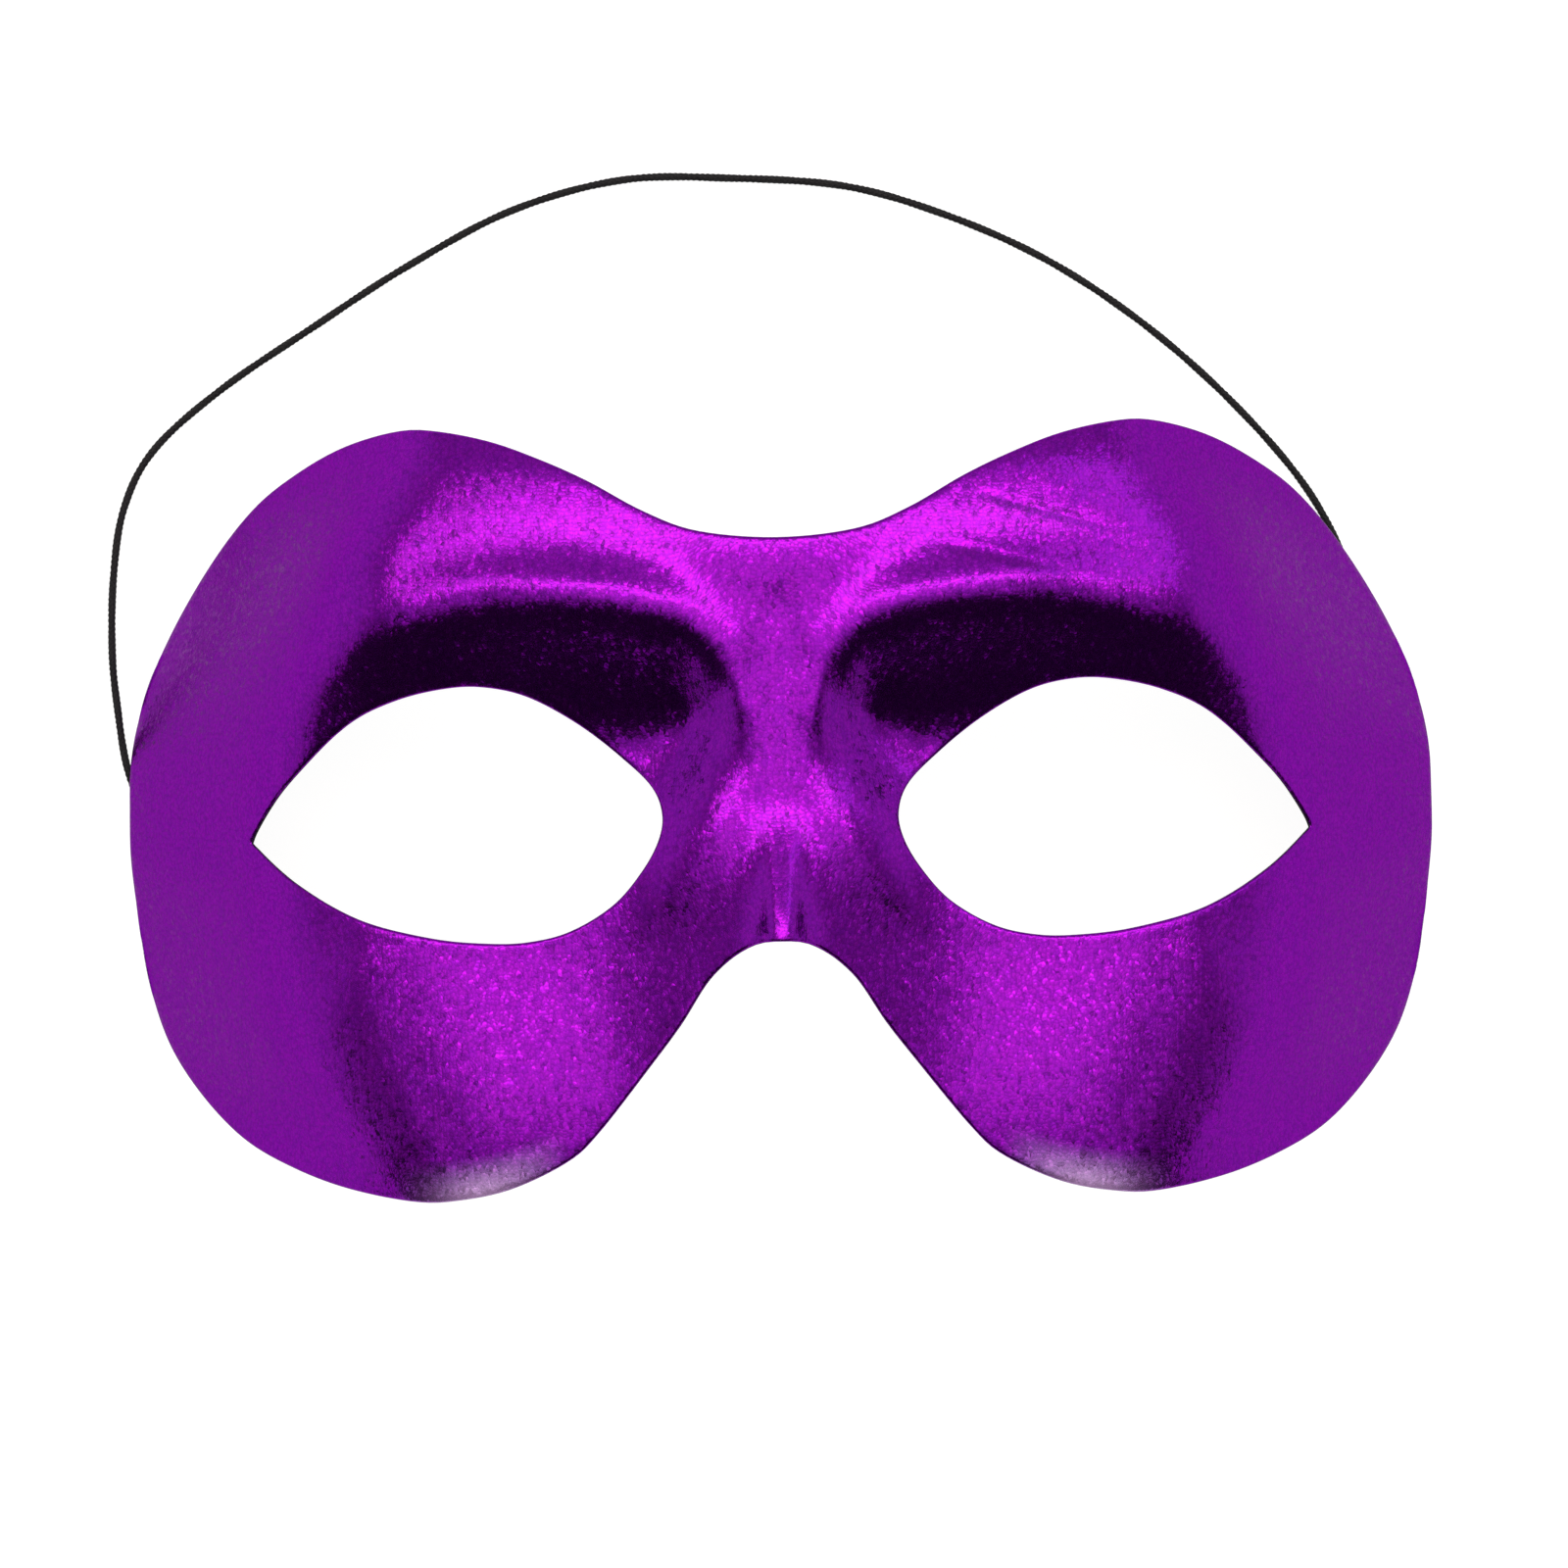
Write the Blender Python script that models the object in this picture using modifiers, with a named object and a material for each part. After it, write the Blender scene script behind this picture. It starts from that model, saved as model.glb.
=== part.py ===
"""Venetian half mask: a moulded cloth shell with a cord of black elastic.

The mask lies face up on the rear rims of its two sides. The origin is at the
bottom centre of the shell, +X to the right as seen from the front, +Y towards
the forehead and +Z out of the face. All lengths are in metres.
"""

import math
from collections import namedtuple

import bpy
import numpy as np
from mathutils import Matrix, Vector

# Eye holes and the margins round them, which together give the overall size.
EYE_WIDTH = 0.0532
EYE_HEIGHT = 0.0321
EYE_GAP = 0.0300
WING_WIDTH = 0.0194
FOREHEAD_HEIGHT = 0.0330
CHEEK_HEIGHT = 0.0328

# Shell: how far the brow stands above the rear rims, and the cloth wall.
BROW_DEPTH = 0.0565
WALL = 0.0016

# Relief of the face, each measured out of or into the general form.
BROW_RISE = 0.0022
SOCKET_DEPTH = 0.0086
NOSE_RISE = 0.0058
FOREHEAD_RISE = 0.0011
GLABELLA_DENT = 0.0004
NASION_RISE = 0.0003
INNER_BROW_RISE = 0.0008
CHEEK_RISE = 0.0016
TEMPLE_RISE = 0.0030

# Width of the brow roll's shoulders, and the run in which the nose rises.
BROW_SHOULDER_ABOVE = 0.0040
BROW_SHOULDER_BELOW = 0.0060
NOSE_RUN = 0.0200

# Elastic and the cloth tabs that hold its ends on the inner wall.
CORD_DIAMETER = 0.0011
CLEARANCE = 0.0003
TAB_LENGTH = 0.0080
TAB_HEIGHT = 0.0050
TAB_THICKNESS = 0.0016
TAB_BACK = 0.0160
TAB_LIFT = 0.0052
TAB_EDGE = 0.0003

# Rear rim: its depth below the floor plane before it is trimmed flat, and the
# low arch that leaves room for the elastic.
RIM_TRIM = 0.0003
ARCH_FROM = -0.0125
ARCH_TO = 0.0150
ARCH_RAMP = 0.0090
ARCH_SHARE = 0.80
FLOOR_SLACK = 0.0200

# Mesh density of one half of the shell.
RAYS_UPPER = 21
RAYS_LOWER = 25
RAYS_MIDLINE = 14
RINGS = 11
DENSE = 720
SEAM_MERGE = 0.00002

HALF_WIDTH = EYE_GAP / 2 + EYE_WIDTH + WING_WIDTH
HALF_HEIGHT = (EYE_HEIGHT + FOREHEAD_HEIGHT + CHEEK_HEIGHT) / 2
EYE_UP = (CHEEK_HEIGHT - FOREHEAD_HEIGHT) / 2

# The wall's inner lip hangs about half a wall lower than its outer edge.
ARCH_HEIGHT = CORD_DIAMETER + CLEARANCE + WALL / 2

# Outline of the right half from the forehead's dip to the top of the nose
# notch: across as a share of the half width, up as a share of the half height.
OutlinePoint = namedtuple("OutlinePoint", "across up")
OUTLINE = (
    OutlinePoint(0.000, 0.695),
    OutlinePoint(0.112, 0.715),
    OutlinePoint(0.188, 0.768),
    OutlinePoint(0.266, 0.848),
    OutlinePoint(0.336, 0.909),
    OutlinePoint(0.408, 0.960),
    OutlinePoint(0.487, 0.993),
    OutlinePoint(0.546, 1.000),
    OutlinePoint(0.628, 0.972),
    OutlinePoint(0.705, 0.917),
    OutlinePoint(0.779, 0.840),
    OutlinePoint(0.850, 0.719),
    OutlinePoint(0.916, 0.564),
    OutlinePoint(0.966, 0.396),
    OutlinePoint(0.989, 0.261),
    OutlinePoint(0.998, 0.141),
    OutlinePoint(1.000, 0.020),
    OutlinePoint(1.000, -0.088),
    OutlinePoint(0.997, -0.204),
    OutlinePoint(0.989, -0.331),
    OutlinePoint(0.974, -0.478),
    OutlinePoint(0.942, -0.629),
    OutlinePoint(0.886, -0.758),
    OutlinePoint(0.813, -0.862),
    OutlinePoint(0.726, -0.930),
    OutlinePoint(0.640, -0.974),
    OutlinePoint(0.542, -1.000),
    OutlinePoint(0.476, -0.996),
    OutlinePoint(0.396, -0.966),
    OutlinePoint(0.313, -0.895),
    OutlinePoint(0.267, -0.819),
    OutlinePoint(0.193, -0.650),
    OutlinePoint(0.148, -0.543),
    OutlinePoint(0.102, -0.419),
    OutlinePoint(0.048, -0.343),
    OutlinePoint(0.000, -0.327),
)

# Eye hole from its outer corner anticlockwise: across as a share of its width
# from the inner corner, up as a share of its half height from its middle.
EyePoint = namedtuple("EyePoint", "across up")
EYE = (
    EyePoint(1.000, -0.160),
    EyePoint(0.947, 0.103),
    EyePoint(0.878, 0.346),
    EyePoint(0.744, 0.726),
    EyePoint(0.628, 0.906),
    EyePoint(0.509, 0.994),
    EyePoint(0.414, 1.000),
    EyePoint(0.312, 0.919),
    EyePoint(0.199, 0.713),
    EyePoint(0.094, 0.445),
    EyePoint(0.024, 0.215),
    EyePoint(0.000, 0.003),
    EyePoint(0.009, -0.202),
    EyePoint(0.049, -0.445),
    EyePoint(0.117, -0.707),
    EyePoint(0.216, -0.906),
    EyePoint(0.312, -0.988),
    EyePoint(0.412, -1.000),
    EyePoint(0.553, -0.950),
    EyePoint(0.731, -0.794),
    EyePoint(0.882, -0.520),
    EyePoint(0.989, -0.234),
)

# Side reach: the lateral edge of the wrapped form at each height, as a share
# of the half width.
Reach = namedtuple("Reach", "up reach")
REACH = (
    Reach(-1.100, 0.690),
    Reach(-1.000, 0.740),
    Reach(-0.862, 0.830),
    Reach(-0.758, 0.892),
    Reach(-0.629, 0.944),
    Reach(-0.478, 0.975),
    Reach(-0.331, 0.989),
    Reach(-0.204, 0.997),
    Reach(-0.088, 1.000),
    Reach(0.020, 1.000),
    Reach(0.141, 0.998),
    Reach(0.261, 0.989),
    Reach(0.396, 0.966),
    Reach(0.564, 0.918),
    Reach(0.719, 0.858),
    Reach(0.840, 0.800),
    Reach(1.000, 0.710),
    Reach(1.100, 0.650),
)

# Wrap round the head: how far the form has fallen back, as a share of the
# way from the face to the rear rim, at each share of the side reach.
Wrap = namedtuple("Wrap", "reach back")
WRAP = (
    Wrap(0.000, 0.000),
    Wrap(0.230, 0.014),
    Wrap(0.400, 0.046),
    Wrap(0.550, 0.105),
    Wrap(0.640, 0.168),
    Wrap(0.710, 0.256),
    Wrap(0.780, 0.410),
    Wrap(0.845, 0.580),
    Wrap(0.913, 0.765),
    Wrap(1.000, 1.000),
    Wrap(1.100, 1.260),
)

# Sections from cheek hem to forehead edge: the height of the face there and
# of the rear rim, both as shares of the brow's depth.
Section = namedtuple("Section", "up face rim")
SECTIONS = (
    Section(-1.100, 0.880, 0.600),
    Section(-1.000, 0.912, 0.500),
    Section(-0.862, 0.932, 0.290),
    Section(-0.758, 0.941, 0.140),
    Section(-0.629, 0.949, 0.035),
    Section(-0.500, 0.956, 0.000),
    Section(-0.250, 0.964, 0.000),
    Section(0.000, 0.973, 0.000),
    Section(0.300, 0.991, 0.000),
    Section(0.450, 0.998, 0.000),
    Section(0.564, 1.000, 0.035),
    Section(0.790, 0.998, 0.225),
    Section(0.890, 0.975, 0.345),
    Section(1.000, 0.916, 0.500),
    Section(1.100, 0.860, 0.620),
)

# Brow roll and eye socket along the face: the crest's height as a share of
# the half height, how far the roll rises, the length of the fall into the
# socket as a share of the eye's height, the socket's depth, and where and in
# what run the socket comes out again, both as shares of the half height.
BrowStation = namedtuple("BrowStation", "across crest rise fall socket end run")
BROW = (
    BrowStation(0.000, 0.520, 0.080, 0.935, 0.020, 0.310, 0.400),
    BrowStation(0.030, 0.490, 0.120, 0.800, 0.050, 0.310, 0.400),
    BrowStation(0.057, 0.430, 0.260, 0.500, 0.240, 0.310, 0.400),
    BrowStation(0.091, 0.460, 0.420, 0.500, 0.610, 0.290, 0.420),
    BrowStation(0.126, 0.505, 0.620, 0.500, 0.820, 0.220, 0.420),
    BrowStation(0.194, 0.545, 0.900, 0.600, 0.950, 0.130, 0.470),
    BrowStation(0.326, 0.575, 1.000, 0.654, 1.000, 0.250, 0.600),
    BrowStation(0.457, 0.565, 0.700, 0.623, 0.950, 0.250, 0.600),
    BrowStation(0.594, 0.490, 0.360, 0.623, 0.720, 0.200, 0.640),
    BrowStation(0.685, 0.400, 0.160, 0.561, 0.400, 0.123, 0.735),
    BrowStation(0.776, 0.306, 0.000, 0.498, 0.140, 0.123, 0.735),
    BrowStation(0.868, 0.245, 0.000, 0.498, 0.000, 0.123, 0.735),
    BrowStation(1.100, 0.204, 0.000, 0.498, 0.000, 0.123, 0.735),
)

# Cross section of the nose and of the cheek beside it: the height above or
# below the plain form as a share of the nose's rise.
NoseStation = namedtuple("NoseStation", "across height")
NOSE = (
    NoseStation(0.000, 1.000),
    NoseStation(0.013, 0.930),
    NoseStation(0.034, 0.470),
    NoseStation(0.057, 0.140),
    NoseStation(0.091, -0.140),
    NoseStation(0.137, -0.430),
    NoseStation(0.183, -0.670),
    NoseStation(0.228, -0.845),
    NoseStation(0.274, -0.950),
    NoseStation(0.320, -0.985),
    NoseStation(0.388, -0.950),
    NoseStation(0.479, -0.775),
    NoseStation(0.571, -0.515),
    NoseStation(0.685, -0.205),
    NoseStation(0.800, 0.000),
)

# The nose's root as a share of the half height.
NOSE_ROOT_UP = 0.051

# Soft swellings and dents: the centre and half extents as shares of the half
# width and half height.
Swell = namedtuple("Swell", "across up wide tall size")
SWELLS = (
    Swell(0.000, 0.640, 0.150, 0.140, FOREHEAD_RISE),
    Swell(0.000, 0.520, 0.030, 0.060, -GLABELLA_DENT),
    Swell(0.114, 0.010, 0.075, 0.130, NASION_RISE),
    Swell(0.055, 0.270, 0.026, 0.085, INNER_BROW_RISE),
    Swell(0.410, -0.770, 0.140, 0.300, CHEEK_RISE),
    Swell(0.620, 0.610, 0.120, 0.180, TEMPLE_RISE),
)

# Finishes: colour in linear light, roughness and how metallic it is.
Finish = namedtuple("Finish", "colour roughness metallic")
FOIL_CLOTH = Finish((0.190, 0.005, 0.330), 0.38, 0.85)
BACKING_FELT = Finish((0.012, 0.010, 0.014), 0.80, 0.00)
BRAIDED_ELASTIC = Finish((0.010, 0.010, 0.011), 0.70, 0.00)

# Route of the elastic on the floor between the two tabs' mouths, chosen by
# hand: across and up from the origin, and the height of its underside.
CORD_ROUTE = (
    (-0.0817, -0.0090, 0.0027),
    (-0.0829, -0.0055, 0.0015),
    (-0.0844, -0.0020, 0.0004),
    (-0.0858, 0.0010, 0.0000),
    (-0.0871, 0.0042, 0.0000),
    (-0.0882, 0.0082, 0.0000),
    (-0.0890, 0.0140, 0.0000),
    (-0.0897, 0.0220, 0.0000),
    (-0.0894, 0.0325, 0.0000),
    (-0.0878, 0.0420, 0.0000),
    (-0.0836, 0.0498, 0.0000),
    (-0.0745, 0.0577, 0.0000),
    (-0.0620, 0.0659, 0.0000),
    (-0.0492, 0.0739, 0.0000),
    (-0.0350, 0.0812, 0.0000),
    (-0.0200, 0.0851, 0.0000),
    (-0.0050, 0.0851, 0.0000),
    (0.0100, 0.0838, 0.0000),
    (0.0230, 0.0799, 0.0000),
    (0.0360, 0.0740, 0.0000),
    (0.0480, 0.0661, 0.0000),
    (0.0590, 0.0566, 0.0000),
    (0.0690, 0.0456, 0.0000),
    (0.0748, 0.0363, 0.0000),
    (0.0782, 0.0262, 0.0000),
    (0.0800, 0.0160, 0.0000),
    (0.0812, 0.0070, 0.0000),
    (0.0818, 0.0000, 0.0004),
    (0.0818, -0.0050, 0.0014),
    (0.0815, -0.0090, 0.0027),
)
CORD_POINTS = 80
SPAN_SAMPLES = 40


def column(rows, name):
    """Return one named column of a table."""
    return [getattr(row, name) for row in rows]


def through(keys, values, at):
    """Read a smooth curve through a table's points, level past its ends."""
    keys = np.asarray(keys, dtype=float)
    values = np.asarray(values, dtype=float)
    gaps = np.diff(keys)
    slopes = np.diff(values) / gaps
    tangents = np.zeros(len(keys))
    tangents[1:-1] = (slopes[:-1] * gaps[1:] + slopes[1:] * gaps[:-1]) / (gaps[1:] + gaps[:-1])
    at = np.clip(at, keys[0], keys[-1])
    low = np.clip(np.searchsorted(keys, at, side="right") - 1, 0, len(keys) - 2)
    gap = gaps[low]
    t = (at - keys[low]) / gap
    start = (1 + 2 * t) * (1 - t) ** 2 * values[low]
    end = t * t * (3 - 2 * t) * values[low + 1]
    leave = t * (1 - t) ** 2 * gap * tangents[low]
    reach = t * t * (t - 1) * gap * tangents[low + 1]
    return start + end + leave + reach


def ease(share):
    """Rise smoothly from 0 to 1 as the share goes from 0 to 1."""
    share = np.clip(share, 0.0, 1.0)
    return share * share * (3 - 2 * share)


def closed_curve(points, count):
    """Sample a smooth closed curve through the points, count samples a span."""
    points = np.asarray(points, dtype=float)
    before = np.roll(points, 1, axis=0)
    after = np.roll(points, -1, axis=0)
    after_next = np.roll(points, -2, axis=0)
    t = (np.arange(count) / count)[None, :, None]
    p0, p1, p2, p3 = (group[:, None, :] for group in (before, points, after, after_next))
    spans = 0.5 * (
        2 * p1
        + (p2 - p0) * t
        + (2 * p0 - 5 * p1 + 4 * p2 - p3) * t**2
        + (3 * p1 - p0 - 3 * p2 + p3) * t**3
    )
    return spans.reshape(-1, points.shape[1])


def outline_half():
    """Return the right half of the outline as a dense open curve."""
    right = [(point.across * HALF_WIDTH, point.up * HALF_HEIGHT) for point in OUTLINE]
    left = [(-x, y) for x, y in right[-2:0:-1]]
    per_span = DENSE // len(OUTLINE)
    loop = closed_curve(right + left, per_span)
    return loop[: (len(right) - 1) * per_span + 1]


def eye_loop():
    """Return the right eye hole as a dense closed curve."""
    points = [
        (EYE_GAP / 2 + point.across * EYE_WIDTH, EYE_UP + point.up * EYE_HEIGHT / 2)
        for point in EYE
    ]
    return closed_curve(points, DENSE // len(EYE))


def rim_height(up):
    """Height of the rear rim before it is trimmed flat at the floor."""
    rim = through(
        column(SECTIONS, "up"),
        column(SECTIONS, "rim"),
        up / HALF_HEIGHT,
    )
    return rim * BROW_DEPTH - RIM_TRIM


def arch_rise(up):
    """Rise of the rim's low arch over the elastic."""
    rise = ease((up - ARCH_FROM) / ARCH_RAMP) * (1 - ease((up - ARCH_TO + ARCH_RAMP) / ARCH_RAMP))
    return rise * (ARCH_HEIGHT + RIM_TRIM)


def wrapped_form(across, up):
    """Height of the plain form: a face that wraps back to the rear rims."""
    level = up / HALF_HEIGHT
    face = BROW_DEPTH * through(
        column(SECTIONS, "up"),
        column(SECTIONS, "face"),
        level,
    )
    reach = HALF_WIDTH * through(
        column(REACH, "up"),
        column(REACH, "reach"),
        level,
    )
    share = across / reach
    back = through(
        column(WRAP, "reach"),
        column(WRAP, "back"),
        share,
    )
    arch = arch_rise(up) * ease((share - ARCH_SHARE) / (1 - ARCH_SHARE))
    return face - (face - rim_height(up)) * back + arch


def brow_and_socket(across, up):
    """Relief of the brow roll and of the socket that falls away below it."""
    station = across / HALF_WIDTH
    stations = column(BROW, "across")

    def along(name):
        return through(stations, column(BROW, name), station)

    above_crest = up - along("crest") * HALF_HEIGHT
    fall = along("fall") * EYE_HEIGHT
    shoulder = np.where(above_crest > 0, BROW_SHOULDER_ABOVE, BROW_SHOULDER_BELOW)
    roll = BROW_RISE * along("rise") * np.exp(-((above_crest / shoulder) ** 2))
    into = 1 - ease((above_crest + fall) / fall)
    run = along("run")
    out_of = ease((up / HALF_HEIGHT - along("end") + run) / run)
    return roll - SOCKET_DEPTH * along("socket") * into * out_of


def nose(across, up):
    """Relief of the nose ridge and of the cheek that falls away beside it."""
    profile = through(
        column(NOSE, "across"),
        column(NOSE, "height"),
        across / HALF_WIDTH,
    )
    drop = NOSE_ROOT_UP * HALF_HEIGHT - up
    return NOSE_RISE * profile * ease(drop / NOSE_RUN)


def swellings(across, up):
    """Relief of the soft swellings and dents listed in their table."""
    total = np.zeros_like(across)
    for swell in SWELLS:
        beside = (across / HALF_WIDTH - swell.across) / swell.wide
        above = (up / HALF_HEIGHT - swell.up) / swell.tall
        total = total + swell.size * np.exp(-(beside**2) - above**2)
    return total


def shell_height(across, up):
    """Height of the shell's outer surface at a place on the right half."""
    across = np.asarray(across, dtype=float)
    up = np.asarray(up, dtype=float)
    return (
        wrapped_form(across, up)
        + brow_and_socket(across, up)
        + nose(across, up)
        + swellings(across, up)
    )


def radius_by_angle(points, centre):
    """Return a function that reads a star-shaped loop's radius at an angle."""
    offsets = points - centre
    angles = np.arctan2(offsets[:, 1], offsets[:, 0])
    radii = np.hypot(offsets[:, 0], offsets[:, 1])
    order = np.argsort(angles)

    def read(at):
        return np.interp(at, angles[order], radii[order], period=2 * math.pi)

    return read


def ray_angles(eye_radius, edge_radius, corners):
    """Spread rays evenly along the eye hole and the outer edge together."""
    angles = []
    counts = (RAYS_UPPER, RAYS_MIDLINE, RAYS_LOWER)
    for start, count in zip(range(3), counts):
        first = corners[start]
        last = corners[start + 1]
        dense = np.linspace(first, last, DENSE)
        spread = np.zeros(DENSE)
        for radius in (eye_radius(dense), edge_radius(dense)):
            xs = radius * np.cos(dense)
            ys = radius * np.sin(dense)
            lengths = np.concatenate(([0.0], np.cumsum(np.hypot(np.diff(xs), np.diff(ys)))))
            spread = spread + lengths / lengths[-1]
        steps = np.linspace(0.0, spread[-1], count + 1)[:-1]
        angles.extend(np.interp(steps, spread, dense))
    return np.array(angles)


def shell_half_mesh():
    """Loft the right half's open surface from the eye hole to the outer edge."""
    centre = np.array([EYE_GAP / 2 + EYE_WIDTH / 2, EYE_UP])
    outline = outline_half()
    top = outline[0]
    notch = outline[-1]
    midline = np.linspace(notch, top, DENSE)[1:-1]
    edge_radius = radius_by_angle(np.vstack([outline, midline]), centre)
    eye = eye_loop()
    eye_radius = radius_by_angle(eye, centre)
    tip_angle = math.atan2(eye[0][1] - centre[1], eye[0][0] - centre[0])
    top_angle = math.atan2(top[1] - centre[1], top[0] - centre[0])
    notch_angle = math.atan2(notch[1] - centre[1], notch[0] - centre[0]) + 2 * math.pi
    corners = (tip_angle, top_angle, notch_angle, tip_angle + 2 * math.pi)
    angles = ray_angles(eye_radius, edge_radius, corners)

    shares = np.linspace(0.0, 1.0, RINGS + 1)[:, None]
    inner = eye_radius(angles)[None, :]
    outer = edge_radius(angles)[None, :]
    radius = inner + (outer - inner) * shares
    xs = centre[0] + radius * np.cos(angles)
    ys = centre[1] + radius * np.sin(angles)
    on_midline = slice(RAYS_UPPER, RAYS_UPPER + RAYS_MIDLINE + 1)
    xs[-1, on_midline] = 0.0
    zs = shell_height(xs, ys)

    rays = len(angles)
    vertices = np.stack([xs, ys, zs], axis=-1).reshape(-1, 3).tolist()
    faces = []
    for ring in range(RINGS):
        for ray in range(rays):
            after = (ray + 1) % rays
            faces.append(
                (
                    ring * rays + ray,
                    (ring + 1) * rays + ray,
                    (ring + 1) * rays + after,
                    ring * rays + after,
                )
            )
    mesh = bpy.data.meshes.new("mask_shell")
    mesh.from_pydata(vertices, [], faces)
    mesh.validate()
    return mesh


def make_material(name, finish):
    """Return a plain Principled material."""
    material = bpy.data.materials.new(name)
    material.use_nodes = True
    shader = material.node_tree.nodes["Principled BSDF"]
    shader.inputs["Base Color"].default_value = (*finish.colour, 1.0)
    shader.inputs["Roughness"].default_value = finish.roughness
    shader.inputs["Metallic"].default_value = finish.metallic
    return material


def rim_trimmer(cutters):
    """Make the slab that trims the rear rims flat at the floor."""
    bpy.ops.mesh.primitive_cube_add(size=1.0)
    slab = bpy.context.object
    slab.name = "rim_trimmer"
    slab.scale = (
        2 * HALF_WIDTH + 2 * FLOOR_SLACK,
        2 * HALF_HEIGHT + 2 * FLOOR_SLACK,
        FLOOR_SLACK,
    )
    slab.location = (0.0, 0.0, -FLOOR_SLACK / 2)
    slab.hide_render = True
    slab.display_type = "WIRE"
    move_to(slab, cutters)
    return slab


def move_to(item, collection):
    """Put an object in one collection only."""
    for holder in list(item.users_collection):
        holder.objects.unlink(item)
    collection.objects.link(item)


def build_shell(parts, cutters):
    """Build the moulded cloth shell."""
    mesh = shell_half_mesh()
    mesh.materials.append(make_material("mask_shell", FOIL_CLOTH))
    mesh.shade_smooth()
    shell = bpy.data.objects.new("mask_shell", mesh)
    parts.objects.link(shell)

    mirror = shell.modifiers.new("both_halves", "MIRROR")
    mirror.use_axis = (True, False, False)
    mirror.merge_threshold = SEAM_MERGE

    wall = shell.modifiers.new("wall", "SOLIDIFY")
    wall.thickness = WALL
    wall.offset = -1.0
    wall.use_even_offset = True

    trim = shell.modifiers.new("flat_rims", "BOOLEAN")
    trim.operation = "DIFFERENCE"
    trim.object = rim_trimmer(cutters)
    return shell


def wall_point(up):
    """Find the right wall's outer point at the tabs' height above the floor."""
    xs = np.linspace(HALF_WIDTH * ARCH_SHARE, HALF_WIDTH, DENSE)
    zs = shell_height(xs, np.full(DENSE, up))
    across = float(np.interp(-TAB_LIFT, -zs, xs))
    return Vector((across, up, TAB_LIFT))


def wall_frame():
    """Find the outer point behind the right tab, the wall's level line there,
    its upward slope and its outward normal."""
    point = wall_point(-TAB_BACK)
    low = wall_point(-TAB_BACK - TAB_LENGTH / 2)
    high = wall_point(-TAB_BACK + TAB_LENGTH / 2)
    along = (high - low).normalized()
    step = WALL / 4
    outer = point.x + step
    fall = (TAB_LIFT - float(shell_height(outer, point.y))) / step
    slope = Vector((-1.0, 0.0, fall))
    normal = slope.cross(along).normalized()
    if normal.x < 0:
        normal = -normal
    return point, normal, along, normal.cross(along)


def tab_centre():
    """Find the middle of the right tab, just clear of the inner wall, which
    bows inwards between the tab's ends."""
    point, normal, _, _ = wall_frame()
    bow = TAB_LENGTH**2 / (8 * HALF_HEIGHT)
    return point - normal * (WALL + CLEARANCE + bow + TAB_THICKNESS / 2)


def tab_mouth():
    """Find where the elastic's end meets the right tab's upper end face."""
    along = wall_frame()[2]
    return tab_centre() + along * (TAB_LENGTH / 2 + CLEARANCE)


def build_tab(name, side, parts):
    """Build the tab that holds one end of the elastic on the inner wall."""
    _, normal, along, upward = wall_frame()
    mirror = Matrix.Diagonal((side, 1.0, 1.0))
    axes = [mirror @ axis for axis in (along * side, upward, normal)]
    centre = mirror @ tab_centre()
    turn = Matrix(axes).transposed().to_4x4()

    bpy.ops.mesh.primitive_cube_add(size=1.0)
    tab = bpy.context.object
    tab.name = name
    tab.data.transform(Matrix.Diagonal((TAB_LENGTH, TAB_HEIGHT, TAB_THICKNESS, 1.0)))
    tab.matrix_world = Matrix.Translation(centre) @ turn
    edges = tab.modifiers.new("soft_edges", "BEVEL")
    edges.width = TAB_EDGE
    edges.segments = 2
    tab.data.materials.append(make_material(name, BACKING_FELT))
    move_to(tab, parts)
    return tab


def route_curve(count):
    """Sample the elastic's centre line at even steps along its length."""
    route = np.array(CORD_ROUTE)
    route[:, 2] += CORD_DIAMETER / 2
    right_end = np.array(tab_mouth())
    left_end = right_end * (-1, 1, 1)
    route = np.vstack([left_end, route, right_end])
    first = 2 * route[0] - route[1]
    last = 2 * route[-1] - route[-2]
    padded = np.vstack([first, route, last])
    dense = closed_curve(padded, SPAN_SAMPLES)
    dense = dense[SPAN_SAMPLES : SPAN_SAMPLES * len(route) + 1]
    dense[:, 2] = np.maximum(dense[:, 2], CORD_DIAMETER / 2)
    steps = np.linalg.norm(np.diff(dense, axis=0), axis=1)
    travelled = np.concatenate(([0.0], np.cumsum(steps)))
    even = np.linspace(0.0, travelled[-1], count)
    return np.stack([np.interp(even, travelled, dense[:, axis]) for axis in range(3)], axis=-1)


def build_elastic(parts):
    """Build the elastic as a round tube along its route."""
    points = route_curve(CORD_POINTS)
    curve = bpy.data.curves.new("elastic_cord", "CURVE")
    curve.dimensions = "3D"
    curve.bevel_depth = CORD_DIAMETER / 2
    curve.bevel_resolution = 2
    curve.use_fill_caps = True
    spline = curve.splines.new("POLY")
    spline.points.add(len(points) - 1)
    for place, point in zip(spline.points, points):
        place.co = (*point, 1.0)
    curve.materials.append(make_material("elastic_cord", BRAIDED_ELASTIC))
    elastic = bpy.data.objects.new("elastic_cord", curve)
    parts.objects.link(elastic)
    return elastic


def main():
    """Clear the scene and build the mask."""
    for item in list(bpy.data.objects):
        bpy.data.objects.remove(item)
    parts = bpy.data.collections.new("venetian_half_mask")
    cutters = bpy.data.collections.new("cutters")
    bpy.context.scene.collection.children.link(parts)
    bpy.context.scene.collection.children.link(cutters)
    build_shell(parts, cutters)
    build_tab("elastic_tab_left", -1, parts)
    build_tab("elastic_tab_right", 1, parts)
    build_elastic(parts)


main()
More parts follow.
